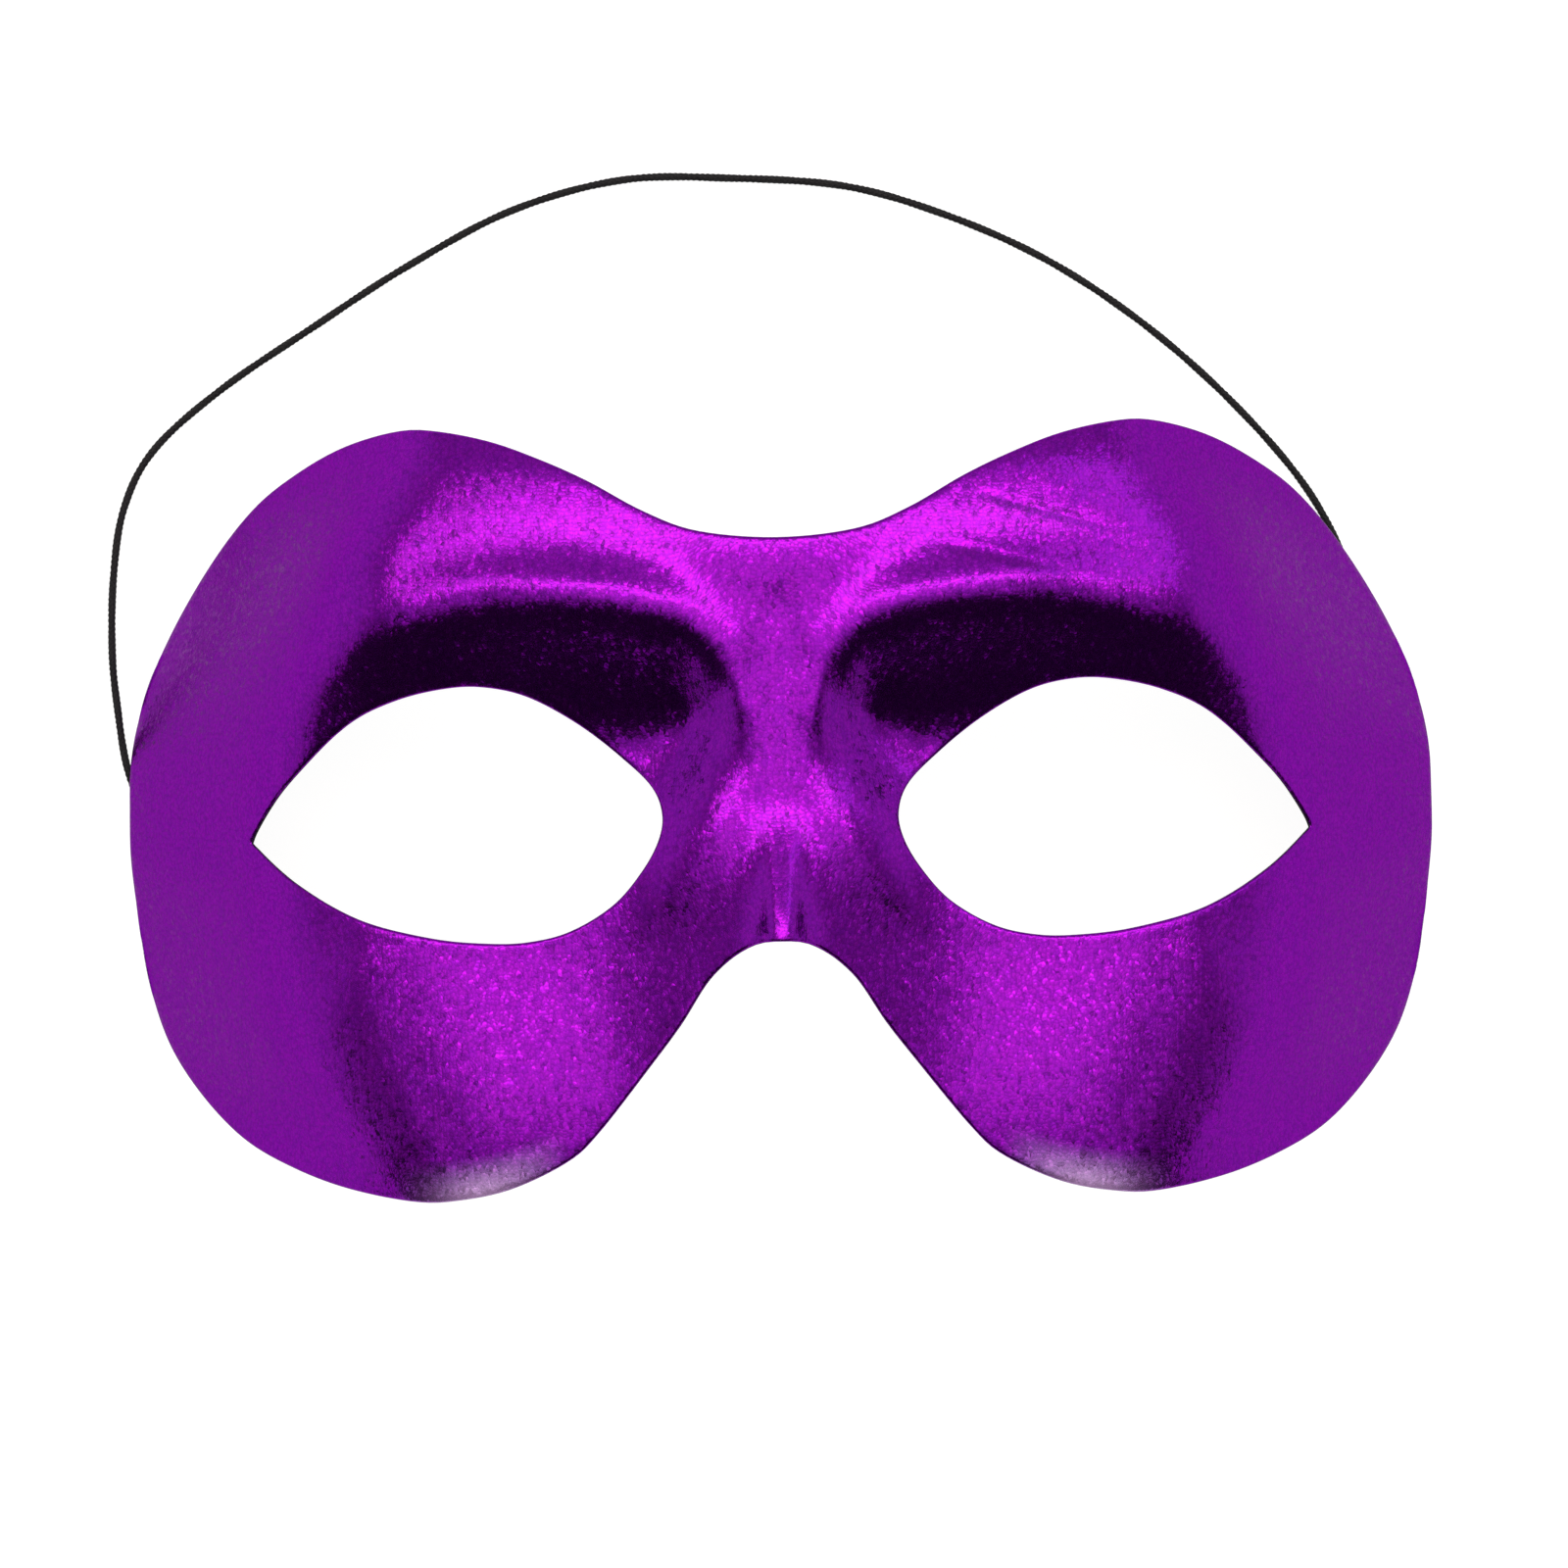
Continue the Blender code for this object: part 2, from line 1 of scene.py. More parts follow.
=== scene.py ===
"""Looks of a venetian half mask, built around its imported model.

The mask is moulded from black felt that is faced with metallic purple cloth. It
lies face up on a pale floor, on the rear rims of its two sides, and its black
elastic loops out beyond the forehead. The row frame is used throughout: +X to
the right as seen from the front, +Y towards the forehead and +Z out of the
face, in metres.
"""

import logging
import math
from dataclasses import dataclass
from enum import Enum, IntEnum
from typing import Any, Callable, NamedTuple

import bmesh
import bpy
import numpy as np
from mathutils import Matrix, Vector, noise


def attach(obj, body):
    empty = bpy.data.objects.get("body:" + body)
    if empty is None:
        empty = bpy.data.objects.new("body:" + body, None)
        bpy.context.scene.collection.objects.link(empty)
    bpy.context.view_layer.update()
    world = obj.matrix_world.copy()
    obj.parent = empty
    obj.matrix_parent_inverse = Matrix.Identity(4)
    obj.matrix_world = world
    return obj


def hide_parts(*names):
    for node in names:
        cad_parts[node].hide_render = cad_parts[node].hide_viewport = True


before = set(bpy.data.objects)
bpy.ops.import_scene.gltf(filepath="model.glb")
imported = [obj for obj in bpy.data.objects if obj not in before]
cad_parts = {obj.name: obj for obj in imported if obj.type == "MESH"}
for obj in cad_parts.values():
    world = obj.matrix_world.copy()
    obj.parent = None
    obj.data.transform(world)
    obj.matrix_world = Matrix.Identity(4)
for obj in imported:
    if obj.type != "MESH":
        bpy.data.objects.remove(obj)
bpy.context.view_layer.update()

BODY = "root"
MILLIMETRES = 1000.0
WHITE = (1.0, 1.0, 1.0, 1.0)

# A point that is nearer to the midline than this, in metres, is on it.
ON_MIDLINE = 4e-7

log = logging.getLogger("venetian_half_mask")
Array = np.ndarray
Tree = bpy.types.NodeTree
Socket = bpy.types.NodeSocket


class Layer(IntEnum):
    """Material slots of the moulded shell."""

    FOIL = 0
    FELT = 1


class Side(Enum):
    """Sides of the mask as seen from the front, with their sign along X."""

    LEFT = -1
    RIGHT = 1


def linear(hex_colour: str) -> tuple[float, float, float, float]:
    """Turn an sRGB hex colour into linear light.

    Args:
        hex_colour: The colour as #RRGGBB.

    Returns:
        Red, green, blue and an alpha of 1.
    """
    channels = []
    # The sRGB curve has a straight piece near black and is a power of 2.4 above it.
    for start in (1, 3, 5):
        share = int(hex_colour[start : start + 2], 16) / 255
        low = share / 12.92
        high = ((share + 0.055) / 1.055) ** 2.4
        channels.append(low if share <= 0.04045 else high)
    return (*channels, 1.0)


def add_node(
    tree: Tree, kind: str, inputs: dict[str | int, Any] | None = None, **settings: Any
) -> bpy.types.Node:
    """Add a node with its settings and links.

    Args:
        tree: The tree that takes the node.
        kind: The node's type name.
        inputs: Values or output sockets, by the input's name or number.
        **settings: Properties of the node itself.

    Returns:
        The new node.
    """
    node = tree.nodes.new(kind)
    for name, value in settings.items():
        setattr(node, name, value)
    for key, value in (inputs or {}).items():
        if isinstance(value, Socket):
            tree.links.new(value, node.inputs[key])
        else:
            node.inputs[key].default_value = value
    return node


def number_math(tree: Tree, operation: str, *values: Any) -> Socket:
    """Add an operation on numbers.

    Args:
        tree: The tree that takes the node.
        operation: The operation's name.
        *values: Numbers or output sockets, in the node's order.

    Returns:
        The socket of the result.
    """
    node = add_node(tree, "ShaderNodeMath", dict(enumerate(values)), operation=operation)
    return node.outputs[0]


def vector_math(tree: Tree, operation: str, *values: Any) -> Socket:
    """Add an operation on vectors.

    Args:
        tree: The tree that takes the node.
        operation: The operation's name.
        *values: Vectors or output sockets, in the node's order.

    Returns:
        The socket of the result, which is a number for a dot product.
    """
    node = add_node(tree, "ShaderNodeVectorMath", dict(enumerate(values)), operation=operation)
    return node.outputs["Value" if operation == "DOT_PRODUCT" else "Vector"]


def scaled(tree: Tree, vector: Socket, factor: Socket) -> Socket:
    """Multiply a vector by a number.

    Args:
        tree: The tree that takes the node.
        vector: The vector.
        factor: The number.

    Returns:
        The socket of the result.
    """
    inputs = {"Vector": vector, "Scale": factor}
    return add_node(tree, "ShaderNodeVectorMath", inputs, operation="SCALE").outputs["Vector"]


def mapped(
    tree: Tree,
    value: Socket,
    from_range: tuple[float, float],
    to_range: tuple[float, float],
    curve: str = "LINEAR",
) -> Socket:
    """Map one range of a number to another and clamp it there.

    Args:
        tree: The tree that takes the node.
        value: The number.
        from_range: The two ends of the number's range.
        to_range: What they become.
        curve: How the number goes from one end to the other.

    Returns:
        The socket of the result.
    """
    inputs = dict(enumerate((value, *from_range, *to_range)))
    return add_node(tree, "ShaderNodeMapRange", inputs, interpolation_type=curve).outputs[0]


def noise_field(
    tree: Tree, place: Socket, scale: float, detail: float, **settings: Any
) -> bpy.types.Node:
    """Add a noise pattern.

    Args:
        tree: The tree that takes the node.
        place: Where the pattern is read.
        scale: How many of its cells fit in one unit of the place.
        detail: How many finer layers lie on it.
        **settings: Properties of the node itself.

    Returns:
        The pattern's node.
    """
    inputs = {"Vector": place, "Scale": scale, "Detail": detail}
    return add_node(tree, "ShaderNodeTexNoise", inputs, **settings)


def mixed_colour(tree: Tree, share: Socket, first: Any, second: Any) -> Socket:
    """Mix two colours.

    Args:
        tree: The tree that takes the node.
        share: How much of the second colour is in the mix.
        first: A colour or its socket.
        second: A colour or its socket.

    Returns:
        The socket of the mixed colour.
    """
    # Inputs 6 and 7 and output 2 are the node's sockets for colours.
    inputs = {0: share, 6: first, 7: second}
    return add_node(tree, "ShaderNodeMix", inputs, data_type="RGBA").outputs[2]


def raised(
    tree: Tree, height: Socket, distance: float, strength: float = 1.0, **inputs: Any
) -> bpy.types.Node:
    """Raise a surface by a pattern.

    Args:
        tree: The tree that takes the node.
        height: The pattern, from 0 to about 1.
        distance: How far a height of 1 stands out, in metres.
        strength: How much of the effect is kept.
        **inputs: Other inputs of the node, by name.

    Returns:
        The node, whose one output is the normal.
    """
    base = {"Strength": strength, "Distance": distance, "Height": height}
    return add_node(tree, "ShaderNodeBump", base | inputs)


def new_material(name: str) -> tuple[bpy.types.Material, bpy.types.Node]:
    """Make a material that holds only a Principled shader and its output.

    Args:
        name: The material's name.

    Returns:
        The material and its shader node.
    """
    material = bpy.data.materials.new(name)
    material.use_nodes = True
    return material, material.node_tree.nodes["Principled BSDF"]


def dress(shader: bpy.types.Node, looks: dict[str, Any]) -> None:
    """Set or link a shader's inputs.

    Args:
        shader: The shader node.
        looks: Values or output sockets, by the input's name.
    """
    for name, value in looks.items():
        if isinstance(value, Socket):
            shader.id_data.links.new(value, shader.inputs[name])
        else:
            shader.inputs[name].default_value = value


def add_object(name: str, data: Any) -> bpy.types.Object:
    """Put new data in the scene as an object at the origin.

    Args:
        name: The object's name.
        data: Its mesh, curve, light or camera.

    Returns:
        The object.
    """
    made = bpy.data.objects.new(name, data)
    bpy.context.scene.collection.objects.link(made)
    return made


class Crease(NamedTuple):
    """Fine fold in the cloth: its two ends and its half width, in millimetres."""

    start: tuple[float, float]
    end: tuple[float, float]
    half_width: float


CREASES = (
    Crease((24.0, 39.6), (41.9, 34.8), 1.1),
    Crease((19.0, 33.4), (38.0, 29.0), 1.2),
    Crease((-71.4, -2.8), (-66.4, -3.4), 0.9),
    Crease((71.4, -2.8), (66.4, -3.4), 0.9),
)


@dataclass(frozen=True)
class FoilKnit:
    """Metallised knit: a fine polyester knit coated with purple foil and pressed.

    The foil gives deep, saturated metal reflections with hardly any white gloss.
    Each stitch is a tiny facet with its own tilt, so highlights break up into
    sparks where light meets dark and stay calm elsewhere. The wales of the knit
    run up the face as faint ribs, and a few fine creases catch the light.

    Names that end in _mm are sizes on the cloth, in millimetres. The rib and
    fibre heights are shares of a stitch's own relief.
    """

    name: str = "pressed_purple_foil_knit"
    deep: str = "#680890"
    bright: str = "#820C9E"
    # Colour of the painted shade in the gaps between the stitches.
    groove: str = "#480668"
    # Pale lilac of the painted reflection of the white floor along the cheeks' lowest hem.
    painted_hem_reflection: str = "#CDB2DA"
    edge_tint: str = "#C6B0C8"
    wale_mm: float = 0.44
    course_mm: float = 0.50
    rib_mm: float = 0.78
    wobble_mm: float = 0.24
    wobble_per_mm: float = 0.8
    fibre_mm: float = 0.13
    fibre_contrast: tuple[float, float] = (0.3, 0.7)
    stitch_edge: tuple[float, float] = (0.10, 0.65)
    streak_mm: float = 9.0
    relief: float = 0.00001
    rib_height: float = 0.25
    fibre_height: float = 0.35
    streak_share: float = 0.45
    stitch_share: float = 0.55
    gap_shade_share: float = 0.35
    crease_depth: float = 0.00014
    facet_tilt: float = 0.015
    glint_tilt: float = 0.11
    smooth: float = 0.21
    rough: float = 0.28
    lacquer: float = 0.05

    def build(self) -> bpy.types.Material:
        """Build the material from the piece's cloth map and its attribute of painted hem
        reflection.

        Returns:
            The material.
        """
        material, shader = new_material(self.name)
        tree = material.node_tree
        place, yarn = self._places(tree)
        stitch_colour, dome = self._stitches(tree, yarn)
        fibre = noise_field(tree, place, 1 / self.fibre_mm, 2.0, noise_dimensions="2D")
        fibre = fibre.outputs["Fac"]
        facets = self._facets(tree, stitch_colour)
        weave = self._weave(tree, yarn, dome, fibre, facets)
        normal = self._creases(tree, weave)
        colour = self._foil_colour(tree, yarn, stitch_colour, dome)
        # Painted reflection: along the cheeks' lowest hem the foil turns pale lilac and less
        # metallic, standing in for the white floor mirrored in the edge.
        painted_hem_reflection = add_node(
            tree, "ShaderNodeAttribute", attribute_name="painted_hem_reflection", attribute_type="GEOMETRY"
        ).outputs["Fac"]
        looks = {
            "Base Color": mixed_colour(tree, painted_hem_reflection, colour, linear(self.painted_hem_reflection)),
            "Metallic": number_math(tree, "SUBTRACT", 1.0, painted_hem_reflection),
            "Roughness": mapped(tree, fibre, self.fibre_contrast, (self.smooth, self.rough)),
            "Normal": normal,
            "Specular Tint": linear(self.edge_tint),
            "Coat Weight": self.lacquer,
            "Coat Roughness": self.smooth,
        }
        dress(shader, looks)
        return material

    def _places(self, tree: Tree) -> tuple[Socket, Socket]:
        """Read the place on the cloth, straight and as the wobbly yarn runs.

        Args:
            tree: The material's tree.

        Returns:
            Both places, in millimetres.
        """
        cloth = add_node(tree, "ShaderNodeUVMap", uv_map="cloth").outputs[0]
        place = vector_math(tree, "MULTIPLY", cloth, (MILLIMETRES,) * 3)
        drift = noise_field(tree, place, self.wobble_per_mm, 1.0, noise_dimensions="2D")
        centred = vector_math(tree, "SUBTRACT", drift.outputs["Color"], (0.5, 0.5, 0.5))
        wobble = vector_math(tree, "MULTIPLY", centred, (self.wobble_mm * 2,) * 3)
        return place, vector_math(tree, "ADD", place, wobble)

    def _stitches(self, tree: Tree, yarn: Socket) -> tuple[Socket, Socket]:
        """Lay out the stitches of the knit.

        Args:
            tree: The material's tree.
            yarn: The place on the wobbly cloth, in millimetres.

        Returns:
            A random colour for each stitch, and how high the stitch stands.
        """
        grid = vector_math(tree, "MULTIPLY", yarn, (1 / self.wale_mm, 1 / self.course_mm, 1.0))
        cells = {"Vector": grid, "Scale": 1.0, "Randomness": 1.0}
        stitches = add_node(tree, "ShaderNodeTexVoronoi", cells, voronoi_dimensions="2D").outputs
        dome = mapped(tree, stitches["Distance"], self.stitch_edge, (1.0, 0.0), "SMOOTHSTEP")
        return stitches["Color"], dome

    def _facets(self, tree: Tree, stitch_colour: Socket) -> Socket:
        """Tilt each stitch its own way, a few of them much more than the rest.

        Args:
            tree: The material's tree.
            stitch_colour: A random colour for each stitch.

        Returns:
            The tilted normal.
        """
        spin = vector_math(tree, "SUBTRACT", stitch_colour, (0.5, 0.5, 0.5))
        spin = vector_math(tree, "MULTIPLY", spin, (2.0, 2.0, 0.0))
        square = vector_math(tree, "MULTIPLY", spin, spin)
        cube = vector_math(tree, "MULTIPLY", square, spin)
        all_tilts = vector_math(tree, "MULTIPLY", spin, (self.facet_tilt,) * 3)
        rare_tilts = vector_math(tree, "MULTIPLY", cube, (self.glint_tilt,) * 3)
        tilt = vector_math(tree, "ADD", all_tilts, rare_tilts)
        tilt = vector_math(tree, "MULTIPLY_ADD", tilt, (0.5, 0.5, 0.0), (0.5, 0.5, 1.0))
        facing = {"Strength": 1.0, "Color": tilt}
        return add_node(tree, "ShaderNodeNormalMap", facing, uv_map="cloth").outputs[0]

    def _weave(
        self, tree: Tree, yarn: Socket, dome: Socket, fibre: Socket, facets: Socket
    ) -> Socket:
        """Raise the stitches, their fibres and the ribs of the wales.

        Args:
            tree: The material's tree.
            yarn: The place on the wobbly cloth, in millimetres.
            dome: How high the stitch stands.
            fibre: Noise of the fibres.
            facets: The tilted normal.

        Returns:
            The normal with the relief on it.
        """
        turn = vector_math(tree, "MULTIPLY", yarn, (math.tau / self.rib_mm, 0.0, 0.0))
        turn = add_node(tree, "ShaderNodeSeparateXYZ", {0: turn}).outputs["X"]
        ribs = number_math(tree, "MULTIPLY", number_math(tree, "SINE", turn), self.rib_height)
        fibres = number_math(tree, "MULTIPLY_ADD", fibre, self.fibre_height, ribs)
        height = number_math(tree, "ADD", dome, fibres)
        return raised(tree, height, self.relief, Normal=facets).outputs[0]

    def _creases(self, tree: Tree, normal: Socket) -> Socket:
        """Press the fine creases into the cloth.

        Args:
            tree: The material's tree.
            normal: The normal so far.

        Returns:
            The normal with the creases in it.
        """
        spot = add_node(tree, "ShaderNodeTexCoord").outputs["Object"]
        spot = vector_math(tree, "MULTIPLY", spot, (MILLIMETRES, MILLIMETRES, 0.0))
        depth = 0.0
        for crease in CREASES:
            start = Vector((*crease.start, 0.0))
            run = Vector((*crease.end, 0.0)) - start
            sideways = Vector((-run.y, run.x, 0.0)).normalized() / crease.half_width
            offset = vector_math(tree, "SUBTRACT", spot, start)
            share = vector_math(tree, "DOT_PRODUCT", offset, run / run.length_squared)
            beside = vector_math(tree, "DOT_PRODUCT", offset, sideways)
            beside = number_math(tree, "ABSOLUTE", beside)
            groove = mapped(tree, beside, (0.0, 1.0), (1.0, 0.0), "SMOOTHSTEP")
            # The taper is 1 halfway along the crease and 0 at both of its ends.
            rest = number_math(tree, "SUBTRACT", 1.0, share)
            taper = number_math(tree, "MULTIPLY", number_math(tree, "MULTIPLY", share, rest), 4.0)
            taper = number_math(tree, "MAXIMUM", taper, 0.0)
            depth = number_math(tree, "MULTIPLY_ADD", groove, taper, depth)
        pressed = raised(tree, depth, self.crease_depth, Normal=normal)
        pressed.invert = True
        return pressed.outputs[0]

    def _foil_colour(
        self, tree: Tree, yarn: Socket, stitch_colour: Socket, dome: Socket
    ) -> Socket:
        """Vary the foil a little by stitch and by wale, and paint shade into the gaps between the
        stitches.

        Args:
            tree: The material's tree.
            yarn: The place on the wobbly cloth, in millimetres.
            stitch_colour: A random colour for each stitch.
            dome: How high the stitch stands.

        Returns:
            The colour.
        """
        along = (1 / self.rib_mm, 1 / self.streak_mm, 1.0)
        stretched = vector_math(tree, "MULTIPLY", yarn, along)
        streaks = noise_field(tree, stretched, 1.0, 3.0, noise_dimensions="2D").outputs["Fac"]
        shade = add_node(tree, "ShaderNodeSeparateColor", {0: stitch_colour}).outputs["Blue"]
        part = number_math(tree, "MULTIPLY", streaks, self.streak_share)
        blend = number_math(tree, "MULTIPLY_ADD", shade, self.stitch_share, part)
        foil = mixed_colour(tree, blend, linear(self.deep), linear(self.bright))
        # Painted shade: the foil darkens towards the gaps between the stitches, where the knit
        # dips.
        painted_gap_shade = mapped(tree, dome, (0.0, 0.5), (self.gap_shade_share, 0.0))
        return mixed_colour(tree, painted_gap_shade, foil, linear(self.groove))


@dataclass(frozen=True)
class PressedFelt:
    """Black polyester felt, hot pressed into a stiff form.

    Tangled fibres give a soft matt black with a faint dusty sheen and no gloss.
    """

    name: str = "pressed_black_felt"
    dark: str = "#0B0A0C"
    lint: str = "#242127"
    fibre_mm: float = 0.25
    clump_mm: float = 2.5
    tangle: float = 1.2
    lint_contrast: tuple[float, float] = (0.12, 0.45)
    relief: float = 0.00010
    roughness: float = 0.92
    dust: float = 0.03
    gloss: float = 0.10

    def build(self) -> bpy.types.Material:
        """Build the material from object coordinates.

        Returns:
            The material.
        """
        material, shader = new_material(self.name)
        tree = material.node_tree
        place = add_node(tree, "ShaderNodeTexCoord").outputs["Object"]
        tangled = noise_field(tree, place, MILLIMETRES / self.fibre_mm, 3.0)
        tangled.inputs["Distortion"].default_value = self.tangle
        fibres = tangled.outputs["Fac"]
        clumps = noise_field(tree, place, MILLIMETRES / self.clump_mm, 2.0).outputs["Fac"]
        both = number_math(tree, "MULTIPLY", fibres, clumps)
        lightness = mapped(tree, both, self.lint_contrast, (0.0, 1.0))
        looks = {
            "Base Color": mixed_colour(tree, lightness, linear(self.dark), linear(self.lint)),
            "Normal": raised(tree, fibres, self.relief).outputs[0],
            "Roughness": self.roughness,
            "Sheen Weight": self.dust,
            "Specular IOR Level": self.gloss,
        }
        dress(shader, looks)
        return material


@dataclass(frozen=True)
class ElasticYarn:
    """Textured polyester yarn, braided over a rubber core and dyed black.

    The filaments give a dull black with a thin silky light along each strand.
    """

    name: str = "braided_black_yarn"
    dark: str = "#0A0A0B"
    light: str = "#1D1D20"
    filament_mm: float = 0.12
    relief: float = 0.00002
    relief_share: float = 0.6
    roughness: float = 0.55
    gloss: float = 0.15

    def build(self) -> bpy.types.Material:
        """Build the material from object coordinates.

        Returns:
            The material.
        """
        material, shader = new_material(self.name)
        tree = material.node_tree
        place = add_node(tree, "ShaderNodeTexCoord").outputs["Object"]
        filaments = noise_field(tree, place, MILLIMETRES / self.filament_mm, 2.0).outputs["Fac"]
        looks = {
            "Base Color": mixed_colour(tree, filaments, linear(self.dark), linear(self.light)),
            "Normal": raised(tree, filaments, self.relief, self.relief_share).outputs[0],
            "Roughness": self.roughness,
            "Specular IOR Level": self.gloss,
        }
        dress(shader, looks)
        return material


class OutlinePoint(NamedTuple):
    """Point of the outline, as shares of the half width and half height."""

    across: float
    up: float


class EyePoint(NamedTuple):
    """Point of the eye hole: a share of its width from the inner corner, and of
    its half height from its middle."""

    across: float
    up: float


class Reach(NamedTuple):
    """Lateral edge of the wrapped form at a height, as a share of the half width."""

    up: float
    reach: float


class Wrap(NamedTuple):
    """How far the form has fallen back at a share of the side reach."""

    reach: float
    back: float


class Section(NamedTuple):
    """Height of the face and of the rear rim, as shares of the brow's depth."""

    up: float
    face: float
    rim: float


class BrowStation(NamedTuple):
    """Brow roll and eye socket at one place across the face.

    The crest and the end are heights, as shares of the half height: the roll's
    top, and the place below which the socket fades out over the run. The rise and
    the socket are shares of the full roll and depth, and the fall is the height of
    the slope between the two, as a share of the eye hole's height.
    """

    across: float
    crest: float
    rise: float
    fall: float
    socket: float
    end: float
    run: float


class NoseStation(NamedTuple):
    """Height of the nose and of the cheek beside it, at one place across."""

    across: float
    height: float


class Swell(NamedTuple):
    """Soft swelling or dent, with its centre and half extents as shares."""

    across: float
    up: float
    wide: float
    tall: float
    size: float


def named_rows(kind: Callable[..., Any], *rows: tuple[float, ...]) -> tuple[Any, ...]:
    """Give the columns of a table their names.

    Args:
        kind: The named tuple that holds a row.
        *rows: The table's numbers, row by row.

    Returns:
        The rows as named tuples.
    """
    return tuple(kind(*row) for row in rows)


OUTLINE = named_rows(
    OutlinePoint,
    (0.000, 0.695), (0.112, 0.715), (0.188, 0.768), (0.266, 0.848),
    (0.336, 0.909), (0.408, 0.960), (0.487, 0.993), (0.546, 1.000),
    (0.628, 0.972), (0.705, 0.917), (0.779, 0.840), (0.850, 0.719),
    (0.916, 0.564), (0.966, 0.396), (0.989, 0.261), (0.998, 0.141),
    (1.000, 0.020), (1.000, -0.088), (0.997, -0.204), (0.989, -0.331),
    (0.974, -0.478), (0.942, -0.629), (0.886, -0.758), (0.813, -0.862),
    (0.726, -0.930), (0.640, -0.974), (0.542, -1.000), (0.476, -0.996),
    (0.396, -0.966), (0.313, -0.895), (0.267, -0.819), (0.193, -0.650),
    (0.148, -0.543), (0.102, -0.419), (0.048, -0.343), (0.000, -0.327),
)

EYE = named_rows(
    EyePoint,
    (1.000, -0.160), (0.947, 0.103), (0.878, 0.346), (0.744, 0.726),
    (0.628, 0.906), (0.509, 0.994), (0.414, 1.000), (0.312, 0.919),
    (0.199, 0.713), (0.094, 0.445), (0.024, 0.215), (0.000, 0.003),
    (0.009, -0.202), (0.049, -0.445), (0.117, -0.707), (0.216, -0.906),
    (0.312, -0.988), (0.412, -1.000), (0.553, -0.950), (0.731, -0.794),
    (0.882, -0.520), (0.989, -0.234),
)

REACH = named_rows(
    Reach,
    (-1.100, 0.690), (-1.000, 0.740), (-0.862, 0.830), (-0.758, 0.892),
    (-0.629, 0.944), (-0.478, 0.975), (-0.331, 0.989), (-0.204, 0.997),
    (-0.088, 1.000), (0.020, 1.000), (0.141, 0.998), (0.261, 0.989),
    (0.396, 0.966), (0.564, 0.918), (0.719, 0.858), (0.840, 0.800),
    (1.000, 0.710), (1.100, 0.650),
)

WRAP = named_rows(
    Wrap,
    (0.000, 0.000), (0.230, 0.014), (0.400, 0.046), (0.550, 0.105),
    (0.640, 0.168), (0.710, 0.256), (0.780, 0.410), (0.845, 0.580),
    (0.913, 0.765), (1.000, 1.000), (1.100, 1.260),
)

SECTIONS = (
    Section(-1.100, 0.880, 0.600),
    Section(-1.000, 0.912, 0.500),
    Section(-0.862, 0.932, 0.290),
    Section(-0.758, 0.941, 0.140),
    Section(-0.629, 0.949, 0.035),
    Section(-0.500, 0.956, 0.000),
    Section(-0.250, 0.964, 0.000),
    Section(0.000, 0.973, 0.000),
    Section(0.300, 0.991, 0.000),
    Section(0.450, 0.998, 0.000),
    Section(0.564, 1.000, 0.035),
    Section(0.790, 0.998, 0.225),
    Section(0.890, 0.975, 0.345),
    Section(1.000, 0.916, 0.500),
    Section(1.100, 0.860, 0.620),
)

BROW = (
    BrowStation(0.000, 0.520, 0.080, 0.935, 0.020, 0.310, 0.400),
    BrowStation(0.030, 0.490, 0.120, 0.800, 0.050, 0.310, 0.400),
    BrowStation(0.057, 0.430, 0.260, 0.500, 0.200, 0.330, 0.390),
    BrowStation(0.091, 0.460, 0.420, 0.500, 0.520, 0.320, 0.410),
    BrowStation(0.126, 0.505, 0.620, 0.500, 0.750, 0.270, 0.430),
    BrowStation(0.194, 0.545, 0.900, 0.600, 0.930, 0.170, 0.480),
    BrowStation(0.326, 0.575, 1.000, 0.654, 1.000, 0.250, 0.600),
    BrowStation(0.457, 0.565, 0.700, 0.623, 0.950, 0.250, 0.600),
    BrowStation(0.594, 0.490, 0.360, 0.623, 0.720, 0.200, 0.640),
    BrowStation(0.685, 0.400, 0.160, 0.561, 0.400, 0.123, 0.735),
    BrowStation(0.776, 0.306, 0.000, 0.498, 0.140, 0.123, 0.735),
    BrowStation(0.868, 0.245, 0.000, 0.498, 0.000, 0.123, 0.735),
    BrowStation(1.100, 0.204, 0.000, 0.498, 0.000, 0.123, 0.735),
)

NOSE = named_rows(
    NoseStation,
    (0.000, 1.000), (0.013, 0.950), (0.034, 0.475), (0.057, 0.140),
    (0.091, -0.140), (0.137, -0.430), (0.183, -0.670), (0.228, -0.845),
    (0.274, -0.950), (0.320, -0.985), (0.388, -0.950), (0.479, -0.775),
    (0.571, -0.515), (0.685, -0.205), (0.800, 0.000),
)

SWELLS = (
    Swell(0.000, 0.640, 0.150, 0.140, 0.0011),
    Swell(0.000, 0.520, 0.030, 0.060, -0.0004),
    Swell(0.114, 0.010, 0.075, 0.130, 0.0003),
    Swell(0.055, 0.270, 0.026, 0.085, 0.0008),
    Swell(0.410, -0.770, 0.140, 0.300, 0.0016),
    Swell(0.620, 0.610, 0.120, 0.180, 0.0030),
)
